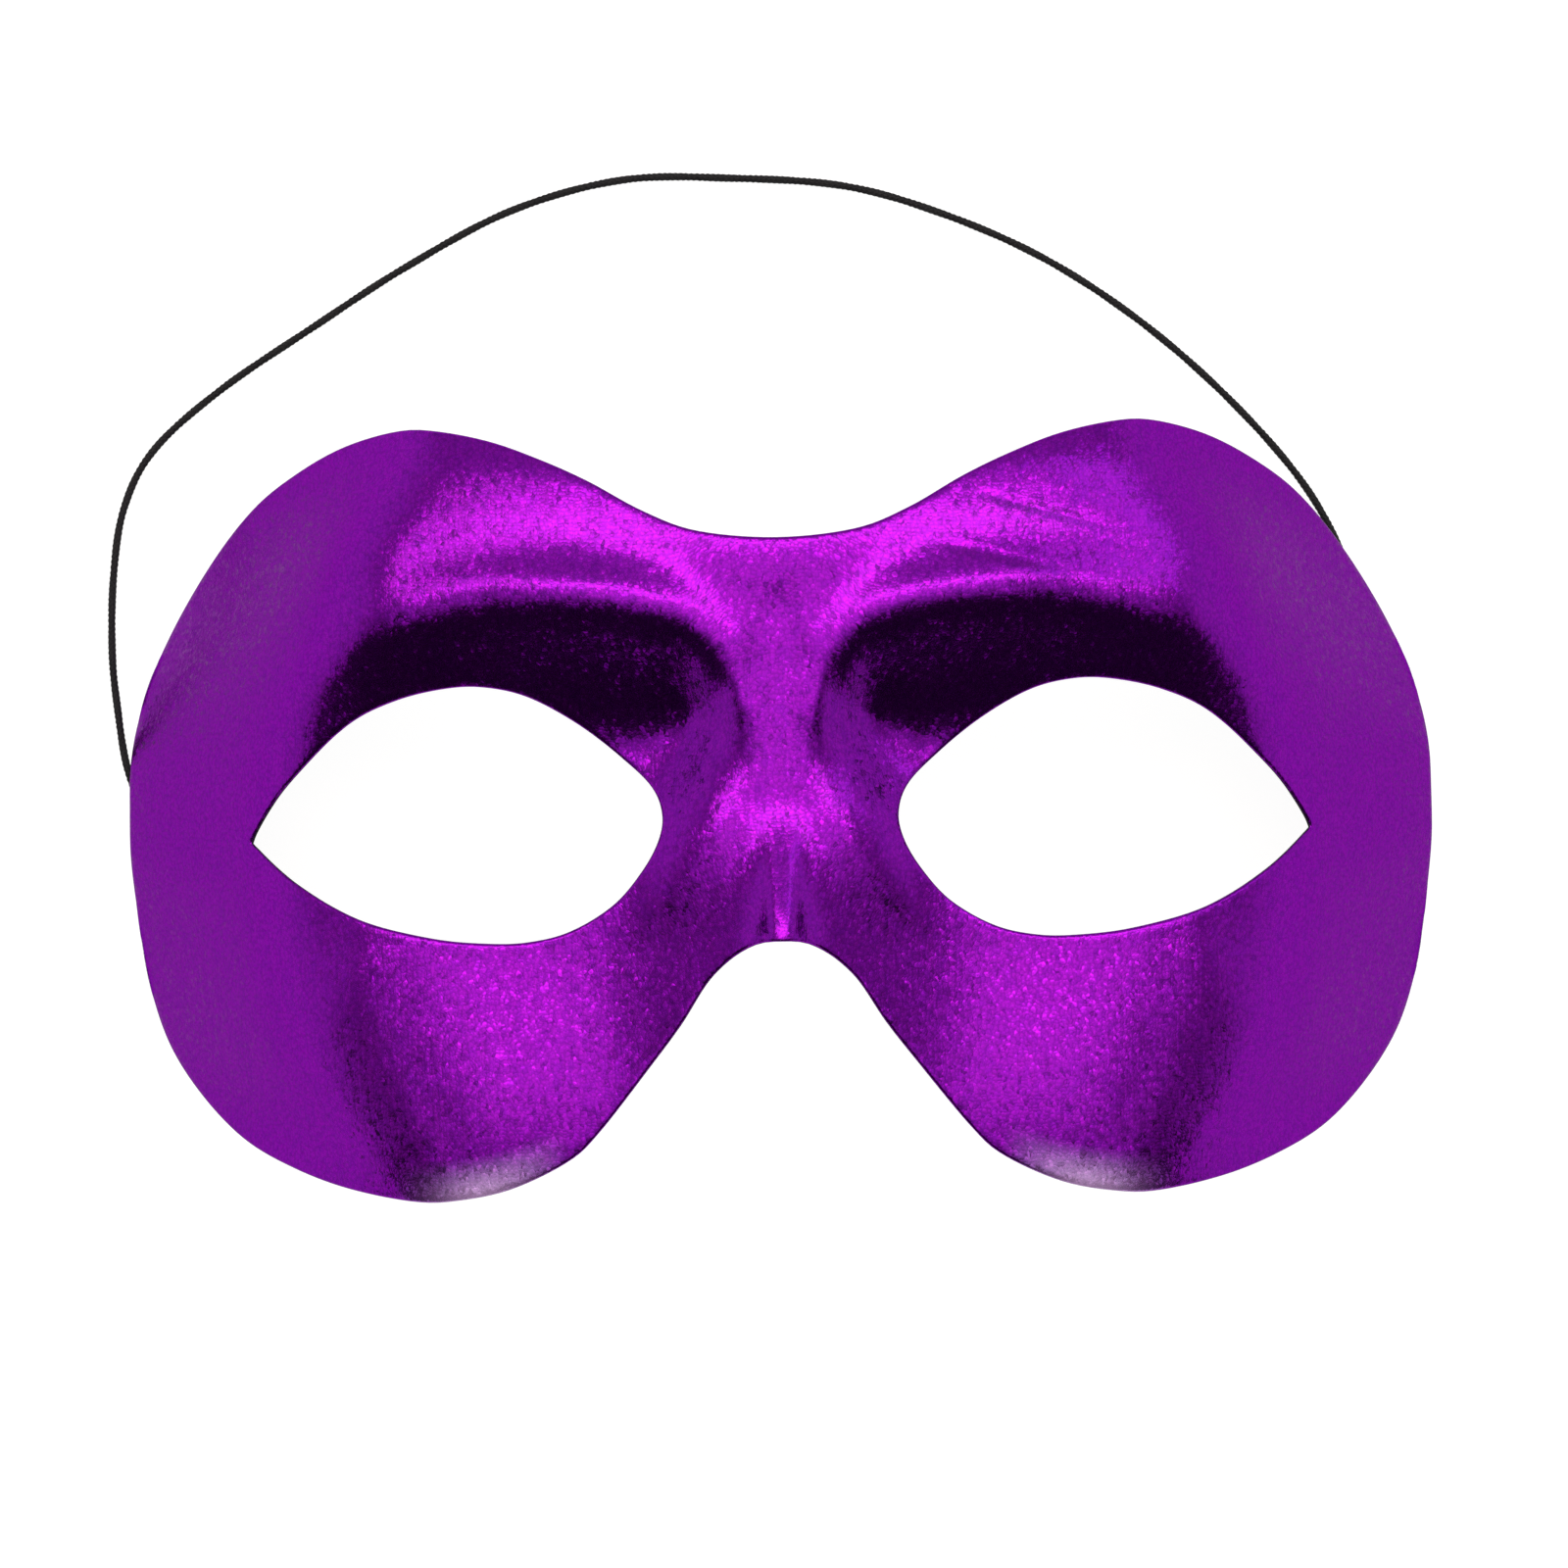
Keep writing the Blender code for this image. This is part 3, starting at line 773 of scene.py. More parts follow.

# Route of the elastic from the left tab to the right one, given point by point:
# across, up and the height of its underside, in metres.
CORD_ROUTE = (
    (-0.0817, -0.0090, 0.0027),
    (-0.0829, -0.0055, 0.0015),
    (-0.0844, -0.0020, 0.0004),
    (-0.0858, 0.0010, 0.0000),
    (-0.0871, 0.0042, 0.0000),
    (-0.0882, 0.0082, 0.0000),
    (-0.0890, 0.0140, 0.0000),
    (-0.0897, 0.0220, 0.0000),
    (-0.0894, 0.0325, 0.0000),
    (-0.0878, 0.0420, 0.0000),
    (-0.0836, 0.0498, 0.0000),
    (-0.0745, 0.0577, 0.0000),
    (-0.0620, 0.0659, 0.0000),
    (-0.0492, 0.0739, 0.0000),
    (-0.0350, 0.0812, 0.0000),
    (-0.0200, 0.0851, 0.0000),
    (-0.0050, 0.0851, 0.0000),
    (0.0100, 0.0838, 0.0000),
    (0.0230, 0.0799, 0.0000),
    (0.0360, 0.0740, 0.0000),
    (0.0480, 0.0661, 0.0000),
    (0.0590, 0.0566, 0.0000),
    (0.0690, 0.0456, 0.0000),
    (0.0748, 0.0363, 0.0000),
    (0.0782, 0.0262, 0.0000),
    (0.0800, 0.0160, 0.0000),
    (0.0812, 0.0070, 0.0000),
    (0.0818, 0.0000, 0.0004),
    (0.0818, -0.0050, 0.0014),
    (0.0815, -0.0090, 0.0027),
)


def column(rows: tuple[NamedTuple, ...], name: str) -> Array:
    """Read one named column of a table.

    Args:
        rows: The table.
        name: The column's name.

    Returns:
        The column's numbers.
    """
    return np.array([getattr(row, name) for row in rows], dtype=float)


def through(keys: Array, values: Array, at: Array) -> Array:
    """Read a smooth curve through a table's points, level past its ends.

    Args:
        keys: Where the table's points lie, in rising order.
        values: The value at each of them.
        at: Where the curve is read.

    Returns:
        The curve's values.
    """
    gaps = np.diff(keys)
    slopes = np.diff(values) / gaps
    tangents = np.zeros(len(keys))
    tangents[1:-1] = (slopes[:-1] * gaps[1:] + slopes[1:] * gaps[:-1]) / (gaps[1:] + gaps[:-1])
    at = np.clip(at, keys[0], keys[-1])
    low = np.clip(np.searchsorted(keys, at, side="right") - 1, 0, len(keys) - 2)
    gap = gaps[low]
    t = (at - keys[low]) / gap
    start = (1 + 2 * t) * (1 - t) ** 2 * values[low]
    end = t * t * (3 - 2 * t) * values[low + 1]
    leave = t * (1 - t) ** 2 * gap * tangents[low]
    reach = t * t * (t - 1) * gap * tangents[low + 1]
    return start + end + leave + reach


def ease(share: Array) -> Array:
    """Rise smoothly from 0 to 1 as the share goes from 0 to 1.

    Args:
        share: The share, which may lie outside 0 to 1.

    Returns:
        The eased share.
    """
    share = np.clip(share, 0.0, 1.0)
    return share * share * (3 - 2 * share)


def closed_curve(points: Array, count: int) -> Array:
    """Sample a smooth closed curve through the points.

    Args:
        points: The points, one a row.
        count: Samples for each span between two points.

    Returns:
        The samples, starting at the first point.
    """
    before = np.roll(points, 1, axis=0)
    after = np.roll(points, -1, axis=0)
    after_next = np.roll(points, -2, axis=0)
    t = (np.arange(count) / count)[None, :, None]
    p0, p1, p2, p3 = (group[:, None, :] for group in (before, points, after, after_next))
    spans = 0.5 * (
        2 * p1
        + (p2 - p0) * t
        + (2 * p0 - 5 * p1 + 4 * p2 - p3) * t**2
        + (3 * p1 - p0 - 3 * p2 + p3) * t**3
    )
    return spans.reshape(-1, points.shape[1])


def unit(vectors: Array) -> Array:
    """Scale vectors to a length of 1.

    Args:
        vectors: Vectors along the last axis.

    Returns:
        The unit vectors.
    """
    return vectors / np.linalg.norm(vectors, axis=-1, keepdims=True)


def radius_by_angle(points: Array, centre: Array) -> Callable[[Array], Array]:
    """Prepare to read a star-shaped loop's radius at any angle.

    Args:
        points: The loop.
        centre: The point that it is seen from.

    Returns:
        A function from angles to radii.
    """
    offsets = points - centre
    angles = np.arctan2(offsets[:, 1], offsets[:, 0])
    radii = np.hypot(offsets[:, 0], offsets[:, 1])
    order = np.argsort(angles)
    return lambda at: np.interp(at, angles[order], radii[order], period=2 * math.pi)


def turn_outwards(mesh: bpy.types.Mesh) -> None:
    """Turn a closed mesh's faces outwards.

    Args:
        mesh: The mesh.
    """
    work = bmesh.new()
    work.from_mesh(mesh)
    bmesh.ops.recalc_face_normals(work, faces=work.faces)
    work.to_mesh(mesh)
    work.free()


@dataclass(frozen=True)
class MaskForm:
    """Outer surface of the mask: its outline, its eye holes and its height.

    The height at a place is a plain form that wraps back to the rear rims, with
    the relief of brow, sockets, nose and cheeks on it.
    """

    eye_width: float = 0.0532
    eye_height: float = 0.0321
    eye_gap: float = 0.0300
    wing_width: float = 0.0194
    forehead_height: float = 0.0330
    cheek_height: float = 0.0328
    brow_depth: float = 0.0565
    wall: float = 0.0016
    brow_rise: float = 0.0022
    socket_depth: float = 0.0086
    nose_rise: float = 0.0058
    brow_shoulder_above: float = 0.0040
    brow_shoulder_below: float = 0.0060
    nose_run: float = 0.0200
    cord_diameter: float = 0.0011
    clearance: float = 0.0003
    rim_trim: float = 0.0003
    arch_from: float = -0.0125
    arch_to: float = 0.0150
    arch_ramp: float = 0.0090
    arch_share: float = 0.80
    nose_root_up: float = 0.051
    dense: int = 720
    slope_steps: int = 16

    @property
    def half_width(self) -> float:
        """Distance from the midline to the widest point of a side."""
        return self.eye_gap / 2 + self.eye_width + self.wing_width

    @property
    def half_height(self) -> float:
        """Half the distance from the cheeks' hem to the forehead's edge."""
        return (self.eye_height + self.forehead_height + self.cheek_height) / 2

    @property
    def eye_up(self) -> float:
        """Height of the eye holes' middle above the mask's middle."""
        return (self.cheek_height - self.forehead_height) / 2

    @property
    def eye_centre(self) -> Array:
        """Middle of the right eye hole."""
        return np.array([self.eye_gap / 2 + self.eye_width / 2, self.eye_up])

    def outline_half(self) -> Array:
        """Trace the right half of the outline from forehead to nose notch.

        Returns:
            Its places, one a row.
        """
        right = [(point.across * self.half_width, point.up * self.half_height) for point in OUTLINE]
        left = [(-x, y) for x, y in right[-2:0:-1]]
        per_span = self.dense // len(OUTLINE)
        loop = closed_curve(np.array(right + left), per_span)
        return loop[: (len(right) - 1) * per_span + 1]

    def eye_loop(self) -> Array:
        """Trace the right eye hole from its outer corner.

        Returns:
            Its places, one a row.
        """
        points = [
            (
                self.eye_gap / 2 + point.across * self.eye_width,
                self.eye_up + point.up * self.eye_height / 2,
            )
            for point in EYE
        ]
        return closed_curve(np.array(points), self.dense // len(EYE))

    def _plain(self, across: Array, up: Array) -> Array:
        """Height of the plain form that wraps back to the rear rims.

        Args:
            across: Distance from the midline.
            up: Height on the face.

        Returns:
            The heights.
        """
        level = up / self.half_height
        levels = column(SECTIONS, "up")
        face = self.brow_depth * through(levels, column(SECTIONS, "face"), level)
        rim = self.brow_depth * through(levels, column(SECTIONS, "rim"), level) - self.rim_trim
        reach = self.half_width * through(column(REACH, "up"), column(REACH, "reach"), level)
        share = across / reach
        back = through(column(WRAP, "reach"), column(WRAP, "back"), share)
        over_cord = ease((up - self.arch_from) / self.arch_ramp)
        past_cord = ease((up - self.arch_to + self.arch_ramp) / self.arch_ramp)
        arch = self.cord_diameter + self.clearance + self.wall / 2 + self.rim_trim
        at_rim = ease((share - self.arch_share) / (1 - self.arch_share))
        return face - (face - rim) * back + arch * over_cord * (1 - past_cord) * at_rim

    def _brow(self, across: Array, up: Array) -> Array:
        """Relief of the brow roll and of the socket that falls away below it.

        Args:
            across: Distance from the midline.
            up: Height on the face.

        Returns:
            The relief.
        """
        station = across / self.half_width
        stations = column(BROW, "across")
        crest, rise, fall, socket, end, run = (
            through(stations, column(BROW, name), station)
            for name in ("crest", "rise", "fall", "socket", "end", "run")
        )
        above_crest = up - crest * self.half_height
        fall = fall * self.eye_height
        shoulder = np.where(above_crest > 0, self.brow_shoulder_above, self.brow_shoulder_below)
        roll = self.brow_rise * rise * np.exp(-((above_crest / shoulder) ** 2))
        into = 1 - ease((above_crest + fall) / fall)
        level = up / self.half_height
        out_of = ease((level - end + run) / run)
        return roll - self.socket_depth * socket * into * out_of

    def _nose(self, across: Array, up: Array) -> Array:
        """Relief of the nose ridge and of the cheek that falls away beside it.

        Args:
            across: Distance from the midline.
            up: Height on the face.

        Returns:
            The relief.
        """
        drop = self.nose_root_up * self.half_height - up
        profile = through(
            column(NOSE, "across"), column(NOSE, "height"), across / self.half_width
        )
        return self.nose_rise * profile * ease(drop / self.nose_run)

    def height(self, across: Array, up: Array) -> Array:
        """Height of the outer surface, the same on both sides of the midline.

        Args:
            across: Signed distance from the midline.
            up: Height on the face.

        Returns:
            The heights above the floor.
        """
        across = np.abs(across)
        total = self._plain(across, up) + self._brow(across, up) + self._nose(across, up)
        for swell in SWELLS:
            beside = (across / self.half_width - swell.across) / swell.wide
            above = (up / self.half_height - swell.up) / swell.tall
            total = total + swell.size * np.exp(-(beside**2) - above**2)
        return total

    def point(self, across: Array, up: Array) -> Array:
        """Points of the outer surface.

        Args:
            across: Signed distance from the midline.
            up: Height on the face.

        Returns:
            The points along the last axis.
        """
        return np.stack([across, up, self.height(across, up)], axis=-1)

    def normal(self, across: Array, up: Array) -> Array:
        """Outward unit normals of the outer surface.

        Args:
            across: Signed distance from the midline.
            up: Height on the face.

        Returns:
            The normals along the last axis.
        """
        step = self.wall / self.slope_steps
        slope_x = self.height(across + step, up) - self.height(across - step, up)
        slope_y = self.height(across, up + step) - self.height(across, up - step)
        return unit(np.stack([-slope_x, -slope_y, np.full_like(slope_x, 2 * step)], axis=-1))


@dataclass(frozen=True)
class MouldedShell:
    """The mask's wall: foil knit outside, felt inside and at its cut edges."""

    form: MaskForm
    foil: FoilKnit = FoilKnit()
    felt: PressedFelt = PressedFelt()
    edge_roll: float = 0.0004
    hem_share: float = 0.45
    hem_run: float = 0.0022
    edge_steps: int = 5
    foil_wrap: int = 2
    rings: int = 44
    rays_upper: int = 105
    rays_midline: int = 70
    rays_lower: int = 125
    uneven: float = 0.00012
    uneven_length: float = 0.014
    # Where the painted reflection of the white floor lies along the cheeks' hem: its span across,
    # its reach up from the hem and its strongest share.
    reflection_from: float = 0.027
    reflection_to: float = 0.050
    reflection_depth: float = 0.0056
    reflection_most: float = 0.62
    map_margin: float = 1.02
    map_grid: int = 400

    def _angles(self) -> Array:
        """Spread the rays evenly along the eye hole and the outer edge together.

        Returns:
            The rays' angles as seen from the middle of the eye hole, in radians.
        """
        form = self.form
        centre = form.eye_centre
        edge_radius, eye_radius = self._radii()
        outline = form.outline_half()
        corner_points = (form.eye_loop()[0], outline[0], outline[-1], form.eye_loop()[0])
        turns = (0.0, 0.0, 2 * math.pi, 2 * math.pi)
        corners = [
            math.atan2(*(point - centre)[::-1]) + turn
            for point, turn in zip(corner_points, turns)
        ]
        counts = (self.rays_upper, self.rays_midline, self.rays_lower)
        angles = []
        for first, last, count in zip(corners, corners[1:], counts):
            dense = np.linspace(first, last, form.dense)
            spread = np.zeros(form.dense)
            for radius in (eye_radius(dense), edge_radius(dense)):
                xs = radius * np.cos(dense)
                ys = radius * np.sin(dense)
                lengths = np.concatenate(([0.0], np.cumsum(np.hypot(np.diff(xs), np.diff(ys)))))
                spread = spread + lengths / lengths[-1]
            steps = np.linspace(0.0, spread[-1], count + 1)[:-1]
            angles.extend(np.interp(steps, spread, dense))
        return np.array(angles)

    def _radii(self) -> tuple[Callable[[Array], Array], Callable[[Array], Array]]:
        """Prepare the radii of the outer edge and of the eye hole by angle.

        Returns:
            A function from angles to radii for each of them.
        """
        form = self.form
        outline = form.outline_half()
        midline = np.linspace(outline[-1], outline[0], form.dense)[1:-1]
        edge = radius_by_angle(np.vstack([outline, midline]), form.eye_centre)
        eye = radius_by_angle(form.eye_loop(), form.eye_centre)
        return edge, eye

    def _outwards(self, border: Array, away_from: Array, square: list[int]) -> Array:
        """Directions in the surface that point off its border.

        Args:
            border: Places of the border, one a row.
            away_from: A direction for each of them that leaves the cloth.
            square: Rows where the border crosses the midline at right angles.

        Returns:
            The unit directions.
        """
        points = self.form.point(border[:, 0], border[:, 1])
        along = np.roll(points, -1, axis=0) - np.roll(points, 1, axis=0)
        along[square] = (1.0, 0.0, 0.0)
        normals = self.form.normal(border[:, 0], border[:, 1])
        off = unit(np.cross(normals, along))
        inward = np.sum(off[:, :2] * away_from, axis=1) < 0
        off[inward] *= -1
        off[square, 0] = 0.0
        return unit(off)

    def _half(self) -> tuple[Array, Array]:
        """Lay out the right half's closed wall as rows of points.

        Returns:
            The points, by row and ray, and which of them exist.
        """
        form = self.form
        angles = self._angles()
        directions = np.stack([np.cos(angles), np.sin(angles)], axis=-1)
        edge_radius, eye_radius = self._radii()
        eye = form.eye_centre + eye_radius(angles)[:, None] * directions
        edge = form.eye_centre + edge_radius(angles)[:, None] * directions
        first = self.rays_upper
        last = self.rays_upper + self.rays_midline
        edge[first : last + 1, 0] = 0.0
        eye_off = self._outwards(eye, -directions, [])
        edge_off = self._outwards(edge, directions, [first, last])
        closed = slice(first + 1, last)
        edge_off[closed] = 0.0
        eye = eye - self.edge_roll * eye_off[:, :2]
        edge = edge - self.edge_roll * edge_off[:, :2]

        shares = np.linspace(0.0, 1.0, self.rings + 1)[:, None, None]
        places = eye + (edge - eye) * shares
        outer = form.point(places[..., 0], places[..., 1])
        normals = form.normal(places[..., 0], places[..., 1])
        border = np.vstack([eye, edge[: first + 1], edge[last:]])
        wall = form.wall * self._pressed_thin(places, border)
        inner = outer - wall * normals
        edge_roll = self._roll(outer[-1], wall[-1], normals[-1], edge_off)
        eye_roll = self._roll(outer[0], wall[0], normals[0], eye_off)[::-1]
        rows = np.concatenate([outer, edge_roll, inner[::-1], eye_roll])
        exists = np.ones(rows.shape[:2], dtype=bool)
        exists[self.rings + 1 : self.rings + 1 + len(edge_roll), closed] = False
        return rows, exists

    def _roll(self, outer: Array, wall: Array, normals: Array, off: Array) -> Array:
        """Round the wall's cut edge over, from the outer face to the inner one.

        Args:
            outer: The outer face's points along the edge.
            wall: The wall's thickness at each of them.
            normals: The outer face's normals there.
            off: Directions in the surface that point off the edge.

        Returns:
            The rounding's points, by step and place.
        """
        turns = np.linspace(math.pi / 2, -math.pi / 2, self.edge_steps + 1)[1:-1, None, None]
        middle = outer - wall / 2 * normals
        across = wall / 2 * np.sin(turns) * normals
        return middle + across + self.edge_roll * np.cos(turns) * off

    def _pressed_thin(self, places: Array, border: Array) -> Array:
        """Find how thin the hot press has left the wall beside its cut edges.

        Args:
            places: The wall's places, by row and ray.
            border: Places along the cut edges, one a row.

        Returns:
            The wall's thickness as a share of the full one.
        """
        near = [
            np.linalg.norm(row[:, None, :] - border[None, :, :], axis=-1).min(axis=1)
            for row in places
        ]
        full = ease(np.array(near) / self.hem_run)[..., None]
        return self.hem_share + (1 - self.hem_share) * full

    def _faces(self, exists: Array) -> tuple[Array, Array]:
        """Join the half's rows and rays into faces.

        Args:
            exists: Which points of the grid exist.

        Returns:
            The faces' four point numbers, and each face's layer.
        """
        numbers = np.arange(exists.size).reshape(exists.shape)
        below = np.roll(numbers, -1, axis=0)
        quads = np.stack(
            [numbers, below, np.roll(below, -1, axis=1), np.roll(numbers, -1, axis=1)],
            axis=-1,
        )
        whole = exists.ravel()[quads].all(axis=-1)
        layers = np.full(exists.shape, int(Layer.FELT))
        layers[: self.rings + self.foil_wrap] = int(Layer.FOIL)
        layers[-self.foil_wrap :] = int(Layer.FOIL)
        return quads[whole], layers[whole]

    def _whole(self) -> tuple[Array, Array, Array]:
        """Mirror the half and join both at the midline.

        Returns:
            The points, the faces and each face's layer.
        """
        rows, exists = self._half()
        quads, layers = self._faces(exists)
        right = rows.reshape(-1, 3)
        on_midline = np.abs(right[:, 0]) < ON_MIDLINE
        left = right * (-1.0, 1.0, 1.0)
        twin = np.where(on_midline, np.arange(len(right)), np.arange(len(right)) + len(right))
        points = np.vstack([right, left])
        faces = np.vstack([quads, twin[quads][:, ::-1]])
        used, numbered = np.unique(faces, return_inverse=True)
        return points[used], numbered.reshape(faces.shape), np.tile(layers, 2)

    def _hand_pressed(self, points: Array) -> Array:
        """Leave the slight unevenness of a form that was pressed by hand.

        Args:
            points: The wall's points.

        Returns:
            The points, moved a little up or down and kept above the floor.
        """
        moved = points.copy()
        for number, (x, y, _) in enumerate(points):
            place = Vector((x, y, 0.0)) / self.uneven_length
            moved[number, 2] += self.uneven * noise.noise(place)
        moved[:, 2] = np.maximum(moved[:, 2], 0.0)
        return moved

    def _cloth_map(self, points: Array) -> Array:
        """Measure each point's place along the cloth, across and up.

        Args:
            points: The wall's points.

        Returns:
            Two distances for each point, in metres.
        """
        form = self.form
        xs = np.linspace(0.0, form.half_width * self.map_margin, self.map_grid)
        ys = np.linspace(-form.half_height, form.half_height, self.map_grid) * self.map_margin
        heights = form.height(xs[None, :], ys[:, None])
        steps_x = np.hypot(np.diff(xs)[None, :], np.diff(heights, axis=1))
        steps_y = np.hypot(np.diff(ys)[:, None], np.diff(heights, axis=0))
        across = np.concatenate([np.zeros((len(ys), 1)), np.cumsum(steps_x, axis=1)], axis=1)
        up = np.concatenate([np.zeros((1, len(xs))), np.cumsum(steps_y, axis=0)])
        up = up - up[len(ys) // 2]
        column_at = np.interp(np.abs(points[:, 0]), xs, np.arange(len(xs)))
        row_at = np.interp(points[:, 1], ys, np.arange(len(ys)))
        left = np.minimum(column_at.astype(int), len(xs) - 2)
        low = np.minimum(row_at.astype(int), len(ys) - 2)
        beside = column_at - left
        above = row_at - low

        def read(table: Array) -> Array:
            """Read a table of the grid at each point, evenly between its cells.

            Args:
                table: One number for each place of the grid.

            Returns:
                One number for each point.
            """
            lower = table[low, left] * (1 - beside) + table[low, left + 1] * beside
            upper = table[low + 1, left] * (1 - beside) + table[low + 1, left + 1] * beside
            return lower * (1 - above) + upper * above

        return np.stack([read(across) * np.sign(points[:, 0]), read(up)], axis=-1)

    def _painted_hem_reflection(self, points: Array) -> Array:
        """Find where a pale reflection of the white floor is painted into the foil, along the
        lowest hem of the cheeks.

        Args:
            points: The wall's points.

        Returns:
            A share from 0 to 1 for each point.
        """
        outline = self.form.outline_half()
        hem = outline[outline[:, 1] < -0.5 * self.form.half_height]
        order = np.argsort(hem[:, 0])
        across = np.abs(points[:, 0])
        edge = np.interp(across, hem[order, 0], hem[order, 1])
        near = 1 - ease((points[:, 1] - edge) / self.reflection_depth)
        middle = (self.reflection_from + self.reflection_to) / 2
        reach = (self.reflection_to - self.reflection_from) / 2
        beside = 1 - ease(np.abs(across - middle) / reach)
        return self.reflection_most * near * beside

    def build(self) -> bpy.types.Object:
        """Build and dress the wall, in the place of its CAD solid.

        Returns:
            The wall's object.
        """
        points, faces, layers = self._whole()
        cloth = self._cloth_map(points)
        # Painted reflection of the white floor along the cheeks' lowest hem.
        painted_hem_reflection = self._painted_hem_reflection(points)
        points = self._hand_pressed(points)
        mesh = bpy.data.meshes.new("moulded_shell")
        mesh.from_pydata(points.tolist(), [], faces.tolist())
        mesh.polygons.foreach_set("material_index", layers.astype(np.int32))
        cloth_map = mesh.uv_layers.new(name="cloth")
        cloth_map.data.foreach_set("uv", cloth[faces.ravel()].astype(np.float32).ravel())
        hem_reflection_layer = mesh.attributes.new("painted_hem_reflection", "FLOAT", "POINT")
        hem_reflection_layer.data.foreach_set("value", painted_hem_reflection.astype(np.float32))
        turn_outwards(mesh)
        mesh.materials.append(self.foil.build())
        mesh.materials.append(self.felt.build())
        mesh.shade_smooth()
        shell = add_object("moulded_shell", mesh)
        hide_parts("mask_shell")
        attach(shell, BODY)
        return shell


def tube_along(tree: Tree, line: Socket, radius: Socket, sides: int) -> Socket:
    """Make a closed tube along a line.

    Args:
        tree: The Geometry Nodes tree.
        line: The tube's centre line.
        radius: Its radius.
        sides: How many flat sides it has.

    Returns:
        The tube.
    """
    ring = {"Resolution": sides, "Radius": radius}
    ring = add_node(tree, "GeometryNodeCurvePrimitiveCircle", ring).outputs[0]
    tube = {"Curve": line, "Profile Curve": ring, "Fill Caps": True}
    return add_node(tree, "GeometryNodeCurveToMesh", tube).outputs[0]


